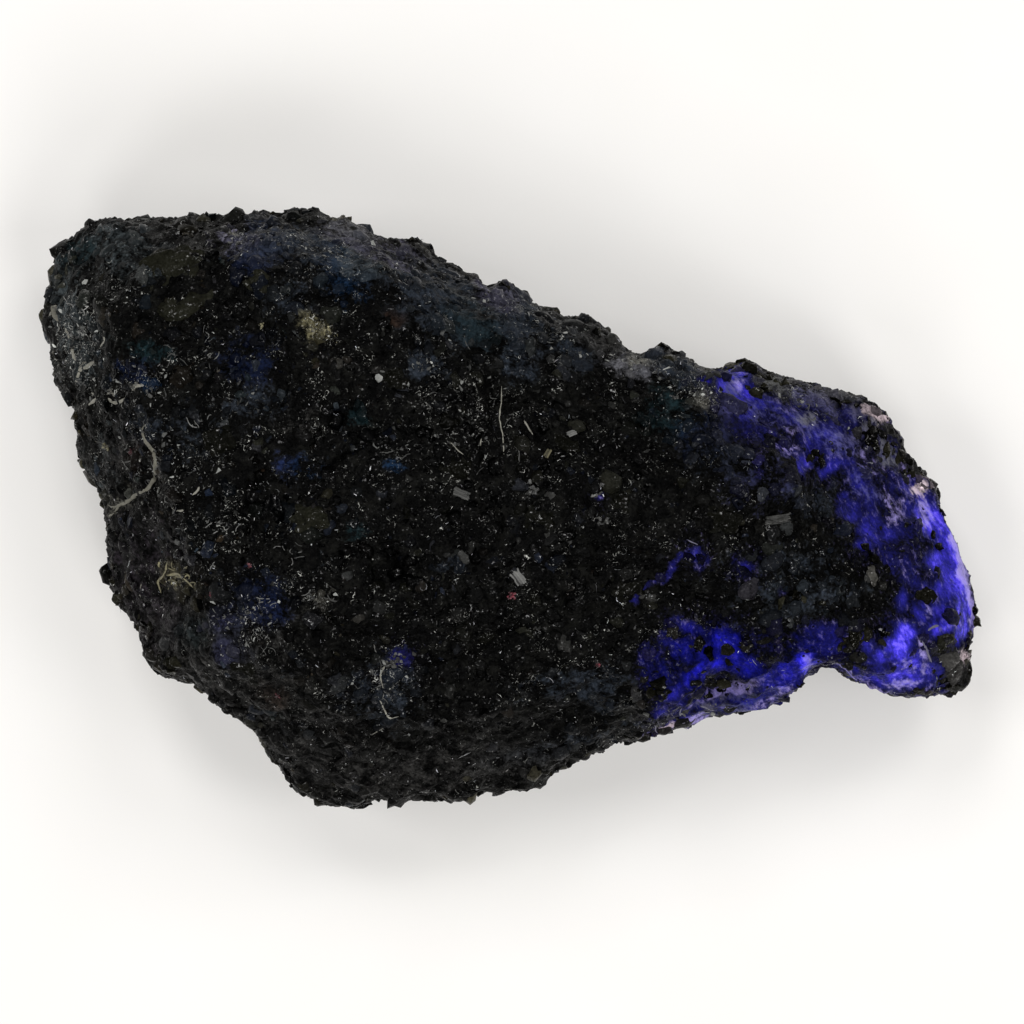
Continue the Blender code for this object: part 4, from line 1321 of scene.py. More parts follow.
@dataclass(frozen=True)
class Skin:
    """The stone's skin: the solid in fine mesh, roughened where there is crust."""

    colouring: Colouring
    voxel: float = 0.21
    blunting: int = 9
    crust: float = 0.2
    coarse_width: float = 1.05
    fine_width: float = 0.55
    block_middle: float = 0.55
    fibre: float = 0.035
    recess: float = 0.16
    rest_height: float = 0.5

    def fine_mesh(self) -> bpy.types.Mesh:
        """The solid in even small faces.

        Returns:
            The mesh, in millimetres.
        """
        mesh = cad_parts[NODE].data.copy()
        mesh.transform(Matrix.Scale(1.0 / MM, 4))
        blank = bpy.data.objects.new("blank", mesh)
        bpy.context.scene.collection.objects.link(blank)
        even = blank.modifiers.new("even", "REMESH")
        even.mode = "VOXEL"
        even.voxel_size = self.voxel
        graph = bpy.context.evaluated_depsgraph_get()
        fine = bpy.data.meshes.new_from_object(blank.evaluated_get(graph))
        bpy.data.objects.remove(blank)
        return fine

    def blunted(self, points: Array, edges: Array) -> Array:
        """The points after each has moved a few times halfway to its neighbours' middle.

        Args:
            points: The points, one row each.
            edges: The two ends of each edge.

        Returns:
            The moved points.
        """
        ends = np.concatenate([edges, edges[:, ::-1]])
        here, there = ends.T
        counts = np.bincount(here, minlength=len(points))[:, None]
        for _ in range(self.blunting):
            sums = [np.bincount(here, points[there, axis], len(points)) for axis in range(3)]
            points = 0.5 * points + 0.5 * np.stack(sums, axis=1) / counts
        return points

    def relief(self, points: Array, glow: Array, stone: Array) -> Array:
        """How far the skin stands out: blocky in crust and fibrous in windows.

        Args:
            points: The skin's points, one row each.
            glow: How much violet light comes through at each.
            stone: How far each lies on a rounded stone.

        Returns:
            The height at each point, in millimetres.
        """
        warped = points + np.stack([noise_at(points, 0.9, k * 31.0) for k in range(3)], 1) * 0.5
        grainy = (blocks_at(warped, self.coarse_width) - self.block_middle) * self.crust * 0.85
        grainy += (blocks_at(warped, self.fine_width) - self.block_middle) * self.crust * 0.55
        grainy += noise_at(points, 1.6, 7.0) * self.crust * 0.8
        grainy += noise_at(points, 0.7, 23.0) * self.crust * 0.5
        fibrous = noise_at(points * (0.35, 1.0, 1.0), 0.45, 3.0) * self.fibre
        clear = eased(glow, 0.24, 0.5)
        rough = (1.0 - 0.85 * clear) * (1.0 - 0.6 * stone)
        return grainy * rough + fibrous * clear - self.recess * clear

    def build(self) -> Surface:
        """Makes and shows the skin.

        Returns:
            The skin as a surface for laying pieces on, in millimetres.
        """
        mesh = self.fine_mesh()
        points, edges = rows_of(mesh.vertices, "co", 3), rows_of(mesh.edges, "vertices", 2, int)
        points = self.blunted(points, edges)
        mesh.vertices.foreach_set("co", points.ravel())
        mesh.update()
        normals = rows_of(mesh.vertex_normals, "vector", 3)

        colouring = self.colouring
        plan = colouring.ragged_plan(points, normals)
        kept = colouring.unbroken(points, normals)
        bed_colour, bed = colouring.bed(plan)
        levels = {
            "glow": colouring.glow(plan) * kept,
            "veil": colouring.veil(plan) * kept,
            "bed": bed * kept,
            "dust": colouring.dust(plan) * kept,
            "deep": DEEP_BLUE.share(plan, 0.5),
        }
        rise = self.relief(points, levels["glow"], colouring.stones(plan))
        lifted = np.clip(points[:, 2] / self.rest_height, 0.0, 1.0)
        rise = (rise - colouring.hollow(points)) * lifted
        points += normals * rise[:, None]
        points[:, 2] = np.maximum(points[:, 2], 0.0)
        mesh.vertices.foreach_set("co", (points * MM).ravel())
        mesh.update()

        for name, values in levels.items():
            mesh.attributes.new(name, "FLOAT", "POINT").data.foreach_set("value", values)
        store_colours(mesh, "bed_colour", np.column_stack([bed_colour, np.ones(len(points))]))
        mesh.shade_smooth()
        mesh.materials.clear()
        mesh.materials.append(SkinFinish().material())
        piece = bpy.data.objects.new("sapphire_skin", mesh)
        put(piece)
        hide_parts(NODE)
        mesh.calc_loop_triangles()
        return Surface(points, rows_of(mesh.loop_triangles, "vertices", 3, int))


def mesh_of(shape: bmesh.types.BMesh) -> Template:
    """Ends a bmesh of triangles.

    Args:
        shape: The bmesh, which is freed.

    Returns:
        Its points and triangles.
    """
    shape.verts.index_update()
    points = np.array([vert.co for vert in shape.verts])
    faces = np.array([[vert.index for vert in face.verts] for face in shape.faces])
    shape.free()
    return points, faces


def angular_grain(rng: np.random.Generator, corners: int, planes: int) -> Template:
    """A broken grain: a ball of points pressed flat on several sides, in its hull.

    Args:
        rng: The source of chance.
        corners: How many points the ball starts with.
        planes: How many flat sides are pressed on it.

    Returns:
        The points, about one unit in radius, and the triangles.
    """
    points = unit(rng.normal(size=(corners, 3)))
    for side in unit(rng.normal(size=(planes, 3))):
        depth = rng.uniform(0.45, 0.8)
        points = points - np.maximum(points @ side - depth, 0.0)[:, None] * side
    hull = bmesh.new()
    for row in points:
        hull.verts.new(row)
    bmesh.ops.convex_hull(hull, input=hull.verts)
    loose = [vert for vert in hull.verts if not vert.link_faces]
    bmesh.ops.delete(hull, geom=loose, context="VERTS")
    bmesh.ops.triangulate(hull, faces=hull.faces)
    bmesh.ops.recalc_face_normals(hull, faces=hull.faces)
    return mesh_of(hull)


def rounded_grain(rng: np.random.Generator, fineness: int) -> Template:
    """A worn, lumpy ball.

    Args:
        rng: The source of chance.
        fineness: 2 gives 80 triangles, and each step up four times more.

    Returns:
        The points, about one unit in radius, and the triangles.
    """
    ball = bmesh.new()
    bmesh.ops.create_icosphere(ball, subdivisions=fineness, radius=1.0)
    points, faces = mesh_of(ball)
    shift = rng.uniform(0, 90)
    lumps = 1.0 + 0.5 * noise_at(points, 0.85, shift) + 0.25 * noise_at(points, 0.35, shift)
    return points * lumps[:, None], faces


def sliver(rng: np.random.Generator, count: int, wide: float, bend: float = 0.0) -> Template:
    """A thin crooked splinter, lying along X with its back up and no underside.

    Args:
        rng: The source of chance.
        count: How many places its line has.
        wide: Its half-width, where its half-length is one.
        bend: How far it curls from end to end, in radians.

    Returns:
        The points and the triangles.
    """
    crook = rng.uniform(0.25, 0.9) / (1.0 + bend)
    headings = np.cumsum(rng.normal(0.0, crook, count - 1)) + np.linspace(0.0, bend, count - 1)
    steps = np.stack([np.cos(headings), np.sin(headings)], axis=1)
    middle = np.concatenate([np.zeros((1, 2)), np.cumsum(steps, axis=0)])
    middle = middle - middle.mean(axis=0)
    middle = middle / np.abs(middle).max()
    ends = 0.15 + 0.85 * (1.0 - np.abs(np.linspace(-1.0, 1.0, count)) ** 2.0)
    width = wide * ends * rng.uniform(0.5, 1.5, count)
    points = np.zeros((3, count, 3))
    points[:, :, :2] = middle
    points[0, :, 1] -= width
    points[2, :, 1] += width
    points[1, :, 2] = width * 0.7
    faces = []
    for k in range(count - 1):
        for row, after in ((0, 1), (1, 2)):
            a, b = row * count + k, after * count + k
            faces.extend([(a, a + 1, b + 1), (a, b + 1, b)])
    return points.reshape(-1, 3), np.array(faces)


def frame_along(normal: Array, turn: float, lift: float) -> Array:
    """A frame on the surface whose first axis shows at a bearing in plan.

    Args:
        normal: The surface normal.
        turn: The bearing in degrees.
        lift: How far the frame is leant back to face straight up.

    Returns:
        A 3 by 3 matrix whose columns are the frame's axes.
    """
    up = unit((normal + (0.0, 0.0, lift))[None])[0]
    angle = math.radians(turn)
    along = np.array((math.cos(angle), math.sin(angle), 0.0))
    along = unit((along - up * (along @ up))[None])[0]
    return np.stack([along, np.cross(up, along), up], axis=1)


def frames_on(normals: Array, tilt: float, rng: np.random.Generator) -> Array:
    """A turned frame for each normal: its third axis leans from the normal by up to tilt.

    Args:
        normals: The surface normals, one row each.
        tilt: How much chance is added to each normal, as a share of its length.
        rng: The source of chance.

    Returns:
        One 3 by 3 matrix for each normal, whose columns are the frame's axes.
    """
    ups = unit(normals + rng.normal(size=normals.shape) * tilt)
    sides = unit(np.cross(ups, unit(rng.normal(size=normals.shape))))
    return np.stack([sides, np.cross(ups, sides), ups], axis=2)


def lay(
    heap: Heap,
    templates: Sequence[Template],
    places: Array,
    frames: Array,
    scales: Array,
    tints: Array,
    rng: np.random.Generator,
) -> None:
    """Adds one template at each place.

    Args:
        heap: What the shapes are added to.
        templates: The shapes to choose from.
        places: Where each goes, one row each.
        frames: How each is turned, one matrix each.
        scales: Its size along its own three axes, one row each.
        tints: Its colour, one row each.
        rng: The source of chance.
    """
    picks = rng.integers(len(templates), size=len(places))
    for index, (points, faces) in enumerate(templates):
        chosen = np.flatnonzero(picks == index)
        if not len(chosen):
            continue
        sized = points[None, :, :] * scales[chosen][:, None, :]
        turned = np.einsum("nij,nkj->nki", frames[chosen], sized) + places[chosen][:, None, :]
        starts = np.arange(len(chosen))[:, None, None] * len(points)
        heap.add(
            turned.reshape(-1, 3),
            (faces[None] + starts).reshape(-1, 3),
            np.repeat(tints[chosen], len(points), axis=0),
        )


@dataclass(frozen=True)
class Shades:
    """A choice of dark display colours, each with its odds."""

    choices: Stops

    def pick(self, points: Array, rng: np.random.Generator) -> Array:
        """A linear colour for each place: chosen by chance, and lighter or darker in drifts.

        Args:
            points: The places, one row each.
            rng: The source of chance.

        Returns:
            One colour for each place.
        """
        odds = np.array([share for share, _ in self.choices])
        colours = np.array([linear(*colour) for _, colour in self.choices])
        picks = rng.choice(len(odds), len(points), p=odds / odds.sum())
        drift = noise_at(points, 1.5, 61.0) + 0.6 * noise_at(points, 0.6, 83.0)
        east = eased(points[:, 0], 8.0, 14.0)
        level = (0.3 + 1.5 * eased(drift, -0.3, 0.65)) * (1.0 + 0.35 * east)
        ends = 1.0 - eased(points[:, 0], -12.0, -4.0) + 0.6 * east
        cool = (ends * np.clip(2.2 * noise_at(points, 2.2, 29.0) + 0.1, -1.0, 1.0))[:, None]
        return colours[picks] * level[:, None] * (1.0 + cool * (-0.25, 0.05, 0.42))


GRAIN_SHADES = Shades(
    (
        (0.32, (1, 1, 1)),
        (0.20, (3, 3, 3)),
        (0.16, (8, 8, 8)),
        (0.09, (16, 16, 12)),
        (0.05, (15, 12, 10)),
        (0.07, (8, 10, 16)),
        (0.07, (24, 24, 24)),
        (0.035, (40, 40, 39)),
        (0.012, (64, 64, 62)),
    )
)
LUMP_SHADES = Shades(
    (
        (0.24, (2, 2, 2)),
        (0.19, (6, 6, 6)),
        (0.17, (12, 12, 12)),
        (0.12, (20, 20, 16)),
        (0.08, (22, 23, 26)),
        (0.08, (29, 29, 28)),
        (0.06, (16, 19, 26)),
        (0.03, (20, 18, 16)),
        (0.03, (38, 38, 37)),
    )
)


@dataclass(frozen=True)
class Layer:
    """One layer of crust grains.

    It tries that count of places. It keeps the least share even in a clear window, and sinks each
    grain by a share of its radius.
    """

    count: int
    sizes: Span
    least: float = 0.03
    sunk: float = 0.4
    shades: Shades = GRAIN_SHADES


@dataclass
class Crust:
    """The crust of grains: coarse, middling and fine, angular and rounded."""

    skin: Surface
    colouring: Colouring
    cobbles: Layer = Layer(420, Span(0.5, 0.95), 0.0, 0.85, LUMP_SHADES)
    coarse: Layer = Layer(1150, Span(0.26, 0.6), 0.0, 0.5, LUMP_SHADES)
    middling: Layer = Layer(5400, Span(0.14, 0.34))
    fine: Layer = Layer(9400, Span(0.07, 0.18), 0.08)
    rounded: Layer = Layer(760, Span(0.12, 0.3))
    lumps: Layer = Layer(260, Span(0.3, 0.6), 0.0, 0.55, LUMP_SHADES)
    knobs: Layer = Layer(2350, Span(0.26, 0.62), 0.0, 0.5, LUMP_SHADES)
    form: Form = ((0.8, 0.75, 0.5), (1.25, 1.1, 0.85))
    tilt: float = 0.35
    clumped: float = 0.65
    clump_radius: tuple[float, float] = (0.18, 0.46)
    clump_form: Form = ((0.85, 0.8, 0.5), (1.2, 1.1, 0.8))
    clump_sunk: float = 0.3
    clump_tilt: float = 0.4
    clump_dust_and_glint: float = 0.1
    stone_height: float = 0.5
    stone_sunk: float = 0.62
    brown: Triple = (33, 32, 24)
    olive: Triple = (64, 61, 47)
    violet_edge: Triple = (18, 16, 48)
    dark_edge: Triple = (17, 16, 13)
    violet_share: float = 0.65
    rng: np.random.Generator = chance(71)

    def tints(
        self, places: Array, normals: Array, plan: Array, glow: Array, shades: Shades
    ) -> Array:
        """A colour and a level of dust and painted glint for each grain: near black, some olive,
        brown, blue or grey.

        Args:
            places: Where the grains lie.
            normals: The surface normals there.
            plan: Where they show in plan.
            glow: How much violet light comes through there.
            shades: The colours to choose from.

        Returns:
            Four numbers for each grain: its linear colour and its level of dust and painted glint.
        """
        each = (len(plan), 1)
        base = shades.pick(places, self.rng)
        bed_colour, bed = self.colouring.bed(plan)
        bed = bed * self.colouring.unbroken(places, normals)
        base = base + (bed_colour * 0.8 - base) * (bed * 0.55)[:, None]
        olive = linear(*self.olive) * self.rng.random(each) ** 1.6
        base = base + olive * self.colouring.rim(places, normals)[:, None]
        dim = linear(*self.violet_edge) * self.rng.uniform(0.1, 1.6, each)
        dark = linear(*self.dark_edge) * self.rng.uniform(0.1, 1.6, each)
        edge = np.where(self.rng.random(each) < self.violet_share, dim, dark)
        base = base + (edge - base) * (eased(glow, 0.04, 0.2) * 0.9)[:, None]
        return np.column_stack([base, self.colouring.dust(plan)])

    def kept(self, layer: Layer) -> tuple[Array, Array, Array, Array]:
        """Random places on the skin, thinned where the crust is thin.

        Args:
            layer: The layer whose grains go there.

        Returns:
            The points, their normals, their places in plan and their glow.
        """
        places, normals = self.skin.scatter(layer.count, self.rng)
        plan = self.colouring.ragged_plan(places, normals)
        glow = self.colouring.glow(plan) * self.colouring.unbroken(places, normals)
        _, bed = self.colouring.bed(plan)
        cover = np.maximum(self.colouring.cover(glow, bed, plan), layer.least)
        keep = self.rng.random(layer.count) < cover
        keep &= ~((places[:, 2] < 0.25) & (normals[:, 2] < -0.5))
        return places[keep], normals[keep], plan[keep], glow[keep]

    def layer(self, heap: Heap, layer: Layer, templates: Sequence[Template]) -> None:
        """Scatters one layer of grains.

        Args:
            heap: What the grains are added to.
            layer: How many, how large and how deep they are.
            templates: The shapes to choose from.
        """
        places, normals, plan, glow = self.kept(layer)
        number = len(places)
        radius = layer.sizes.pick(number, self.rng)
        shape = self.rng.uniform(*self.form, (number, 3))
        scales = radius[:, None] * shape
        frames = frames_on(normals, self.tilt, self.rng)
        tints = self.tints(places, normals, plan, glow, layer.shades)
        places = places - normals * (radius * layer.sunk)[:, None]
        lay(heap, templates, places, frames, scales, tints, self.rng)

    def clumps(self, heap: Heap, templates: Sequence[Template]) -> None:
        """Piles coarse grains into the knots along the rim and over the windows.

        Args:
            heap: What the grains are added to.
            templates: The shapes to choose from.
        """
        for clump in CLUMPS:
            count = max(2, round(clump.count * self.clumped))
            reach = np.sqrt(self.rng.random(count))
            bearing = self.rng.uniform(0, math.tau, count)
            offsets = np.stack([np.cos(bearing), np.sin(bearing)], 1) * reach[:, None]
            plan = clump.spread(offsets * (clump.long, clump.wide))
            places, normals = split(self.skin.shown(plan))
            number = len(places)
            if not number:
                continue
            radius = self.rng.uniform(*self.clump_radius, number)
            shape = self.rng.uniform(*self.clump_form, (number, 3))
            brown = linear(*self.brown) * self.rng.random((number, 1)) ** 2.0
            tints = np.column_stack([brown, np.full(number, self.clump_dust_and_glint)])
            places = places - normals * (radius * self.clump_sunk)[:, None]
            frames = frames_on(normals, self.clump_tilt, self.rng)
            lay(heap, templates, places, frames, radius[:, None] * shape, tints, self.rng)

    def stones(self, heap: Heap, templates: Sequence[Template]) -> None:
        """Sets the flat rounded stones in the crust.

        Args:
            heap: What the stones are added to.
            templates: The shapes to choose from.
        """
        for stone in STONES:
            hit = self.skin.under(stone.x, stone.y)
            if hit is None:
                continue
            place, normal = np.array(hit[0]), np.array(hit[1])
            turned = frame_along(normal, stone.turn, 0.2)[None]
            high = self.stone_height * stone.wide
            size = np.array(((stone.long, stone.wide, high),))
            tint = np.array(((*stone.hue.light * (0.35 + 0.4 * stone.level), 0.0),))
            spot = (place - normal * high * self.stone_sunk)[None]
            lay(heap, templates, spot, turned, size, tint, self.rng)

    def build(self) -> list[Heap]:
        """Makes and shows the grains.

        Returns:
            The heaps of grains, so that later pieces can lie on them.
        """
        blocky = [angular_grain(self.rng, 40, 9) for _ in range(18)]
        small = [angular_grain(self.rng, 16, 5) for _ in range(18)]
        pebbles, lumps, boulders = (
            [rounded_grain(self.rng, fineness) for _ in range(8)] for fineness in (2, 3, 4)
        )
        coarse, middling, fine, rounded, lumpy = heaps = [Heap() for _ in range(5)]
        self.layer(coarse, self.cobbles, blocky)
        self.layer(coarse, self.coarse, blocky)
        self.clumps(coarse, small + pebbles)
        self.stones(coarse, boulders)
        self.layer(middling, self.middling, small)
        self.layer(fine, self.fine, small)
        self.layer(rounded, self.rounded, pebbles)
        self.layer(rounded, self.lumps, lumps)
        self.layer(lumpy, self.knobs, pebbles)
        crystal = MineralFinish("black_crystal", 0.2, 0.8, 0.018, 0.04, 0.9, 0.7)
        glass = MineralFinish("black_glass", 0.12, 0.8, 0.03, 0.03, 0.5, 0.9)
        dull = MineralFinish("black_lump", 0.3, 0.9, 0.03, 0.06, 0.5, 0.4)
        coarse.build("crust_grains_coarse", crystal, 28.0)
        middling.build("crust_grains_middling", crystal)
        fine.build("crust_grains_fine", crystal)
        rounded.build("crust_grains_rounded", glass, 60.0)
        lumpy.build("crust_lumps", dull, 60.0)
        return heaps


@dataclass
class Glints:
    """Splinters of mica and broken crystal all over the crust, coloured bright as painted glints.
    """

    outer: Surface
    skin: Surface
    colouring: Colouring
    short: int = 15800
    short_sizes: Span = Span(0.022, 0.12, 3.0)
    long: int = 900
    long_sizes: Span = Span(0.1, 0.38, 3.0)
    curled: int = 2300
    curled_sizes: Span = Span(0.05, 0.2, 3.0)
    kinds: int = 40
    reach: float = 0.7
    lowest: float = 0.4
    tilt: float = 0.25
    rng: np.random.Generator = chance(5)

    def places(self, count: int) -> tuple[Array, Array]:
        """Places on the crust, thicker in some parts than in others.

        Args:
            count: How many places are tried.

        Returns:
            The points and their normals, one row each.
        """
        places, normals = self.skin.scatter(count, self.rng)
        plan = self.colouring.ragged_plan(places, normals)
        drift = 0.35 + 0.6 * noise_at(places, 2.4, 19.0) + 1.2 * noise_at(places, 0.6, 2.0)
        drift += 0.5 * self.colouring.dust(plan)
        west = 1.0 - 0.45 * eased(plan[:, 0], 4.0, 14.0)
        shaded = 1.0 - 0.7 * self.colouring.glow(plan)
        keep = self.rng.random(count) < np.clip(drift, 0.0, 1.0) * west * shaded
        keep &= places[:, 2] > self.lowest
        spots = zip(places[keep].tolist(), normals[keep].tolist())
        return split(
            [self.outer.outermost(Vector(place), Vector(up), self.reach) for place, up in spots]
        )

    def strew(self, heap: Heap, count: int, sizes: Span, shapes: Sequence[Template]) -> None:
        """Strews splinters of one kind.

        Args:
            heap: What they are added to.
            count: How many places are tried.
            sizes: Their half-lengths.
            shapes: The splinters to choose from.
        """
        spots, facings = self.places(count)
        number = len(spots)
        length = sizes.pick(number, self.rng)
        scales = np.stack([length, length * self.rng.uniform(0.5, 1.0, number), length], 1)
        # Painted glint: how bright each splinter's pale colour is, mostly dim and a few very
        # bright.
        bright = 0.03 + 0.92 * self.rng.random(number) ** 5.0
        warmth = self.rng.uniform((0.92, 0.95, 0.92), (1.0, 1.0, 1.08), (number, 3))
        frames = frames_on(facings, self.tilt, self.rng)
        lay(heap, shapes, spots, frames, scales, bright[:, None] * warmth, self.rng)

    def build(self) -> None:
        """Makes and shows the glints."""
        heap, rng, kinds = Heap(), self.rng, range(self.kinds)
        specks = [sliver(rng, int(rng.integers(3, 6)), 0.32) for _ in kinds]
        hairs = [sliver(rng, int(rng.integers(5, 8)), 0.06) for _ in kinds]
        self.strew(heap, self.short, self.short_sizes, specks)
        self.strew(heap, self.long, self.long_sizes, hairs)
        hooks = [sliver(rng, 6, 0.15, rng.uniform(1.5, 4.0)) for _ in kinds]
        self.strew(heap, self.curled, self.curled_sizes, hooks)
        heap.build("glint_slivers", MineralFinish("painted_glint_splinter", 0.4, 0.2, 0.5, 0.005))


@dataclass
class Threads:
    """Pale seams, ribbed blades and tangled nets of mineral, laid on the crust."""

    outer: Surface
    spacing: float = 0.09
    wobble: float = 0.02
    stride: float = 0.11
    sides: int = 6
    shortest: int = 4
    seam_rise: float = 0.02
    rib_rise: float = 0.05
    thread_rise: float = 0.015
    rng: np.random.Generator = chance(23)

    def tube(self, heap: Heap, path: Sequence[Spot], wide: Array, flat: float, tint: Array) -> None:
        """Sweeps a flattened tube along a path.

        Args:
            heap: What the tube is added to.
            path: The places and surface normals that it follows.
            wide: Its half-width at each place.
            flat: Its height as a share of its width.
            tint: Its colour.
        """
        around = self.sides
        spots, ups = split(path)
        ahead = unit(np.gradient(spots, axis=0))
        sides = unit(np.cross(ahead, unit(ups)))
        lifts = np.cross(sides, ahead)
        angles = np.arange(around) * math.tau / around
        ring = sides[:, None] * np.cos(angles)[None, :, None]
        ring = ring + lifts[:, None] * (np.sin(angles) * flat)[None, :, None]
        points = (spots[:, None] + ring * wide[:, None, None]).reshape(-1, 3)
        faces = []
        for k in range(len(path) - 1):
            for j in range(around):
                a, b = k * around + j, k * around + (j + 1) % around
                faces.extend([(a, b, b + around), (a, b + around, a + around)])
        last = (len(path) - 1) * around
        faces.extend((0, j + 1, j) for j in range(1, around - 1))
        faces.extend((last, last + j, last + j + 1) for j in range(1, around - 1))
        heap.add(points, np.array(faces), np.tile(tint, (len(points), 1)))

    def laid(self, line: Line | Array, rise: float) -> list[Spot]:
        """The path over the crust that shows along a line of places in plan.

        Args:
            line: The line's places.
            rise: How far the path stays above the crust, in millimetres.

        Returns:
            The path's points and the surface normals under them.
        """
        corners = np.array(line)
        steps = np.linalg.norm(np.diff(corners, axis=0), axis=1)
        gone = np.concatenate([[0.0], np.cumsum(steps)])
        marks = np.linspace(0.0, gone[-1], max(self.shortest, int(gone[-1] / self.spacing)))
        plan = np.stack([np.interp(marks, gone, corners[:, k]) for k in range(2)], axis=1)
        plan += self.rng.normal(size=plan.shape) * self.wobble
        path = self.evened(self.outer.shown(plan))
        return [(point + normal * rise, normal) for point, normal in path]

    def evened(self, path: list[Spot]) -> list[Spot]:
        """The path with its sudden drops between grains taken out.

        Args:
            path: The path's points and normals.

        Returns:
            The same path, with each point drawn towards the two beside it.
        """
        last = len(path) - 1
        for _ in range(2):
            path = [
                ((path[max(k - 1, 0)][0] + spot * 2.0 + path[min(k + 1, last)][0]) / 4.0, normal)
                for k, (spot, normal) in enumerate(path)
            ]
        return path

    def tapered(self, count: int, wide: float) -> Array:
        """Half-widths along a thread: full in the middle, thin at the ends, uneven between.

        Args:
            count: How many places the thread has.
            wide: The half-width in its middle.

        Returns:
            One half-width for each place.
        """
        along = np.linspace(0.0, 1.0, count)
        uneven = 1.0 + 0.7 * noise_at(np.stack([along * 9.0] * 3, 1), 1.0, self.rng.uniform(0, 50))
        return wide * np.sqrt(np.clip(np.minimum(along, 1.0 - along) * 5.0, 0.03, 1.0)) * uneven

    def wander(self, tangle: Tangle) -> Line:
        """A short wandering line inside a tangle's oval.

        Args:
            tangle: The tangle.

        Returns:
            The line's places in plan.
        """
        x, y = tangle.spread(self.rng.normal(size=2) * 0.55 * (tangle.long, tangle.wide))
        heading = self.rng.uniform(0, math.tau)
        line = [(x, y)]
        for _ in range(int(self.rng.integers(3, 8))):
            heading += self.rng.normal() * 0.7
            x, y = x + self.stride * math.cos(heading), y + self.stride * math.sin(heading)
            line.append((x, y))
        return tuple(line)

    def ribs(self, heap: Heap, blade: Blade) -> None:
        """Lays a blade's ribs side by side, each of its own length and shade.

        Args:
            heap: What the ribs are added to.
            blade: The blade.
        """
        for place in np.linspace(-0.8, 0.8, blade.ribs):
            aside = place * blade.wide
            least, most = self.rng.uniform(0.85, 1.1, 2) * blade.long
            ends = blade.spread(np.array(((-least, aside), (most, aside))))
            path = self.laid(ends, self.rib_rise)
            if len(path) >= self.shortest:
                wide = np.full(len(path), blade.wide / blade.ribs * 1.45)
                tint = blade.hue.light * self.rng.uniform(0.2, 1.3)
                self.tube(heap, path, wide, 0.8, tint)

    def build(self) -> None:
        """Makes and shows the seams, the blades and the tangles."""
        heap = Heap()
        for seam in SEAMS:
            path = self.laid(seam.line, self.seam_rise)
            if len(path) >= self.shortest:
                self.tube(heap, path, self.tapered(len(path), seam.wide), 0.35, seam.hue.light)
        for blade in BLADES:
            self.ribs(heap, blade)
        for tangle in TANGLES:
            for _ in range(tangle.count):
                path = self.laid(self.wander(tangle), self.thread_rise)
                shade = tangle.hue.light * self.rng.uniform(0.35, 1.5)
                if len(path) >= self.shortest:
                    wide = self.tapered(len(path), tangle.thick * self.rng.uniform(0.6, 1.4))
                    self.tube(heap, path, wide, 0.7, shade)
        heap.build("pale_seams", MineralFinish("pale_seam", 0.55, 0.35, 0.4, 0.02), 60.0)


@dataclass
class Chips:
    """Grains of another colour, each of a few shards: pale, yellow, steely, red or pink."""

    skin: Surface
    shards: int = 16
    thick: float = 0.4
    lift: float = 0.6
    tilt: float = 0.3
    form: Form = ((0.25, 0.25, 0.6), (0.6, 0.6, 1.0))
    rng: np.random.Generator = chance(9)

    def build(self) -> None:
        """Makes and shows the chips, each flat to the crust and turned as it lies."""
        shapes = [angular_grain(self.rng, 24, 9) for _ in range(12)]
        heap = Heap()
        each = (self.shards, 3)
        for chip in CHIPS:
            hit = self.skin.under(chip.x, chip.y)
            if hit is None:
                continue
            place = np.array(hit[0])
            turned = frame_along(np.array(hit[1]), chip.turn, self.lift)
            half = np.array((chip.long, chip.wide, self.thick * min(chip.long, chip.wide)))
            away = self.rng.uniform(-0.7, 0.7, each) * (half * (1.0, 1.0, 0.3))
            scales = half * self.rng.uniform(*self.form, each)
            shades = chip.hue.light * (0.1 + 1.2 * self.rng.random((self.shards, 1)) ** 1.5)
            frames = frames_on(np.tile(turned[:, 2], (self.shards, 1)), self.tilt, self.rng)
            lay(heap, shapes, place + away @ turned.T, frames, scales, shades, self.rng)
        heap.build("crust_chips", MineralFinish("clear_chip", 0.32, 0.95, 0.5, 0.05), 25.0)


@dataclass
class Flakes:
    """Pale flakes of mineral and curled hooks, partly painted glints, that lie thickly in the dusty
    places.
    """

    skin: Surface
    density: float = 32.0
    reach: float = 0.55
    tilt: float = 0.5
    sizes: Span = Span(0.03, 0.2, 2.2)
    form: Form = ((0.9, 0.5, 0.25), (1.5, 1.1, 0.6))
    rng: np.random.Generator = chance(37)

    def build(self) -> None:
        """Makes and shows the flakes."""
        shapes = [angular_grain(self.rng, 12, 4) for _ in range(12)]
        # Curled hooks: pale colour that stands partly for glints painted along grain edges.
        shapes += [sliver(self.rng, 5, 0.3, self.rng.uniform(0.5, 3.5)) for _ in range(16)]
        heap = Heap()
        for patch in DUST_AND_GLINT:
            count = int(self.density * patch.level * math.pi * patch.long * patch.wide)
            away = self.rng.normal(size=(count, 2)) * self.reach * (patch.long, patch.wide)
            places, normals = split(self.skin.shown(patch.spread(away)))
            number = len(places)
            radius = self.sizes.pick(number, self.rng)
            shape = self.rng.uniform(*self.form, (number, 3))
            shade = self.rng.random((number, 1)) ** 3.0
            tints = patch.hue.light * (0.04 + 3.0 * min(1.0, patch.level) * shade)
            frames = frames_on(normals, self.tilt, self.rng)
            lay(heap, shapes, places, frames, radius[:, None] * shape, tints, self.rng)
        heap.build("pale_flakes", MineralFinish("pale_flake", 0.35, 0.4, 0.3, 0.02))


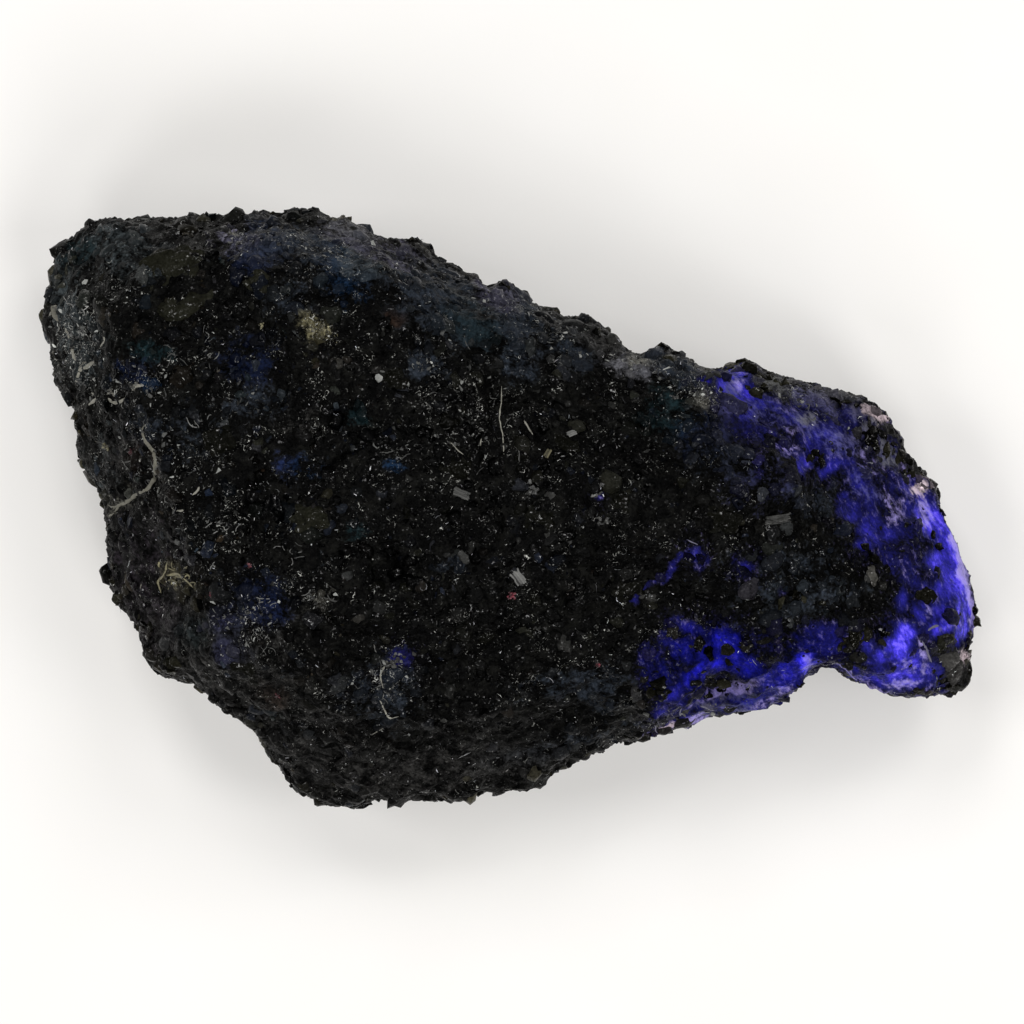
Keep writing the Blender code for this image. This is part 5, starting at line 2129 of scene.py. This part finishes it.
@dataclass(frozen=True)
class Studio:
    """The pale floor, the soft lights and the camera straight above.

    Each lamp has its bearing from the stone, 0 along +X, and its angle above the floor, both in
    degrees, and its power in watts. Their distance and side are in metres.
    """

    floor_half: float = 2.0
    frame_width: float = 51.2
    sensor: float = 36.0
    lamp_away: float = 1.2
    lamp_side: float = 0.38
    lamp_colour: Triple = (1.0, 0.995, 0.985)
    air: float = 0.12
    lamps: tuple[Triple, ...] = (
        (112, 52, 4.4),
        (52, 50, 3.4),
        (-8, 48, 2.5),
        (-62, 50, 4.7),
        (-122, 48, 3.4),
        (172, 48, 3.3),
    )

    def floor(self) -> None:
        """Lays the pale paper floor."""
        mesh = bpy.data.meshes.new("floor")
        size = self.floor_half
        corners = [(-size, -size, 0), (size, -size, 0), (size, size, 0), (-size, size, 0)]
        mesh.from_pydata(corners, [], [(0, 1, 2, 3)])
        mesh.materials.append(PaperFinish().material())
        sheet = bpy.data.objects.new("floor", mesh)
        bpy.context.scene.collection.objects.link(sheet)

    def lamp(self, azimuth: float, rise: float, power: float) -> None:
        """Hangs a square soft lamp that faces the stone.

        Args:
            azimuth: Its bearing from the stone in degrees.
            rise: Its angle above the floor in degrees.
            power: Its power in watts.
        """
        light = bpy.data.lights.new("lamp", "AREA")
        light.shape = "SQUARE"
        light.size = self.lamp_side
        light.energy = power
        light.color = self.lamp_colour
        lamp = bpy.data.objects.new("lamp", light)
        a, r = math.radians(azimuth), math.radians(rise)
        way = Vector((math.cos(a) * math.cos(r), math.sin(a) * math.cos(r), math.sin(r)))
        lamp.location = way * self.lamp_away
        lamp.rotation_euler = (-lamp.location).to_track_quat("-Z", "Y").to_euler()
        bpy.context.scene.collection.objects.link(lamp)

    def lights(self) -> None:
        """Hangs the lamps and lights the air dimly."""
        for lamp in self.lamps:
            self.lamp(*lamp)
        world = bpy.data.worlds.new("air")
        world.use_nodes = True
        air = world.node_tree.nodes["Background"]
        air.inputs["Color"].default_value = (1.0, 1.0, 1.0, 1.0)
        air.inputs["Strength"].default_value = self.air
        bpy.context.scene.world = world

    def camera(self) -> None:
        """Sets the camera straight above, with +Y up in its picture."""
        lens = bpy.data.cameras.new("camera")
        lens.sensor_width = self.sensor
        lens.lens = self.sensor * EYE.height / self.frame_width
        lens.clip_start = 0.01
        eye = bpy.data.objects.new("camera", lens)
        eye.location = Vector((EYE.x, EYE.y, EYE.girdle + EYE.height)) * MM
        bpy.context.scene.collection.objects.link(eye)
        bpy.context.scene.camera = eye
        bpy.context.scene.view_settings.view_transform = "Standard"

    def build(self) -> None:
        """Sets up the whole studio."""
        self.floor()
        self.lights()
        self.camera()


def main() -> None:
    """Builds the stone from its skin outwards, with the studio round it."""
    logging.basicConfig(level=logging.INFO, format="%(message)s")
    colouring = Colouring()
    skin = Skin(colouring).build()
    Studio().build()
    heaps = Crust(skin, colouring).build()
    Chips(skin).build()
    Flakes(skin).build()
    grains = Heap()
    grains.add(skin.points, skin.faces, np.zeros((0, 3)))
    for heap in heaps:
        grains.add(*heap.joined(), np.zeros((0, 3)))
    outer = Surface(*grains.joined())
    Glints(outer, skin, colouring).build()
    Threads(outer).build()


if __name__ == "__main__":
    main()
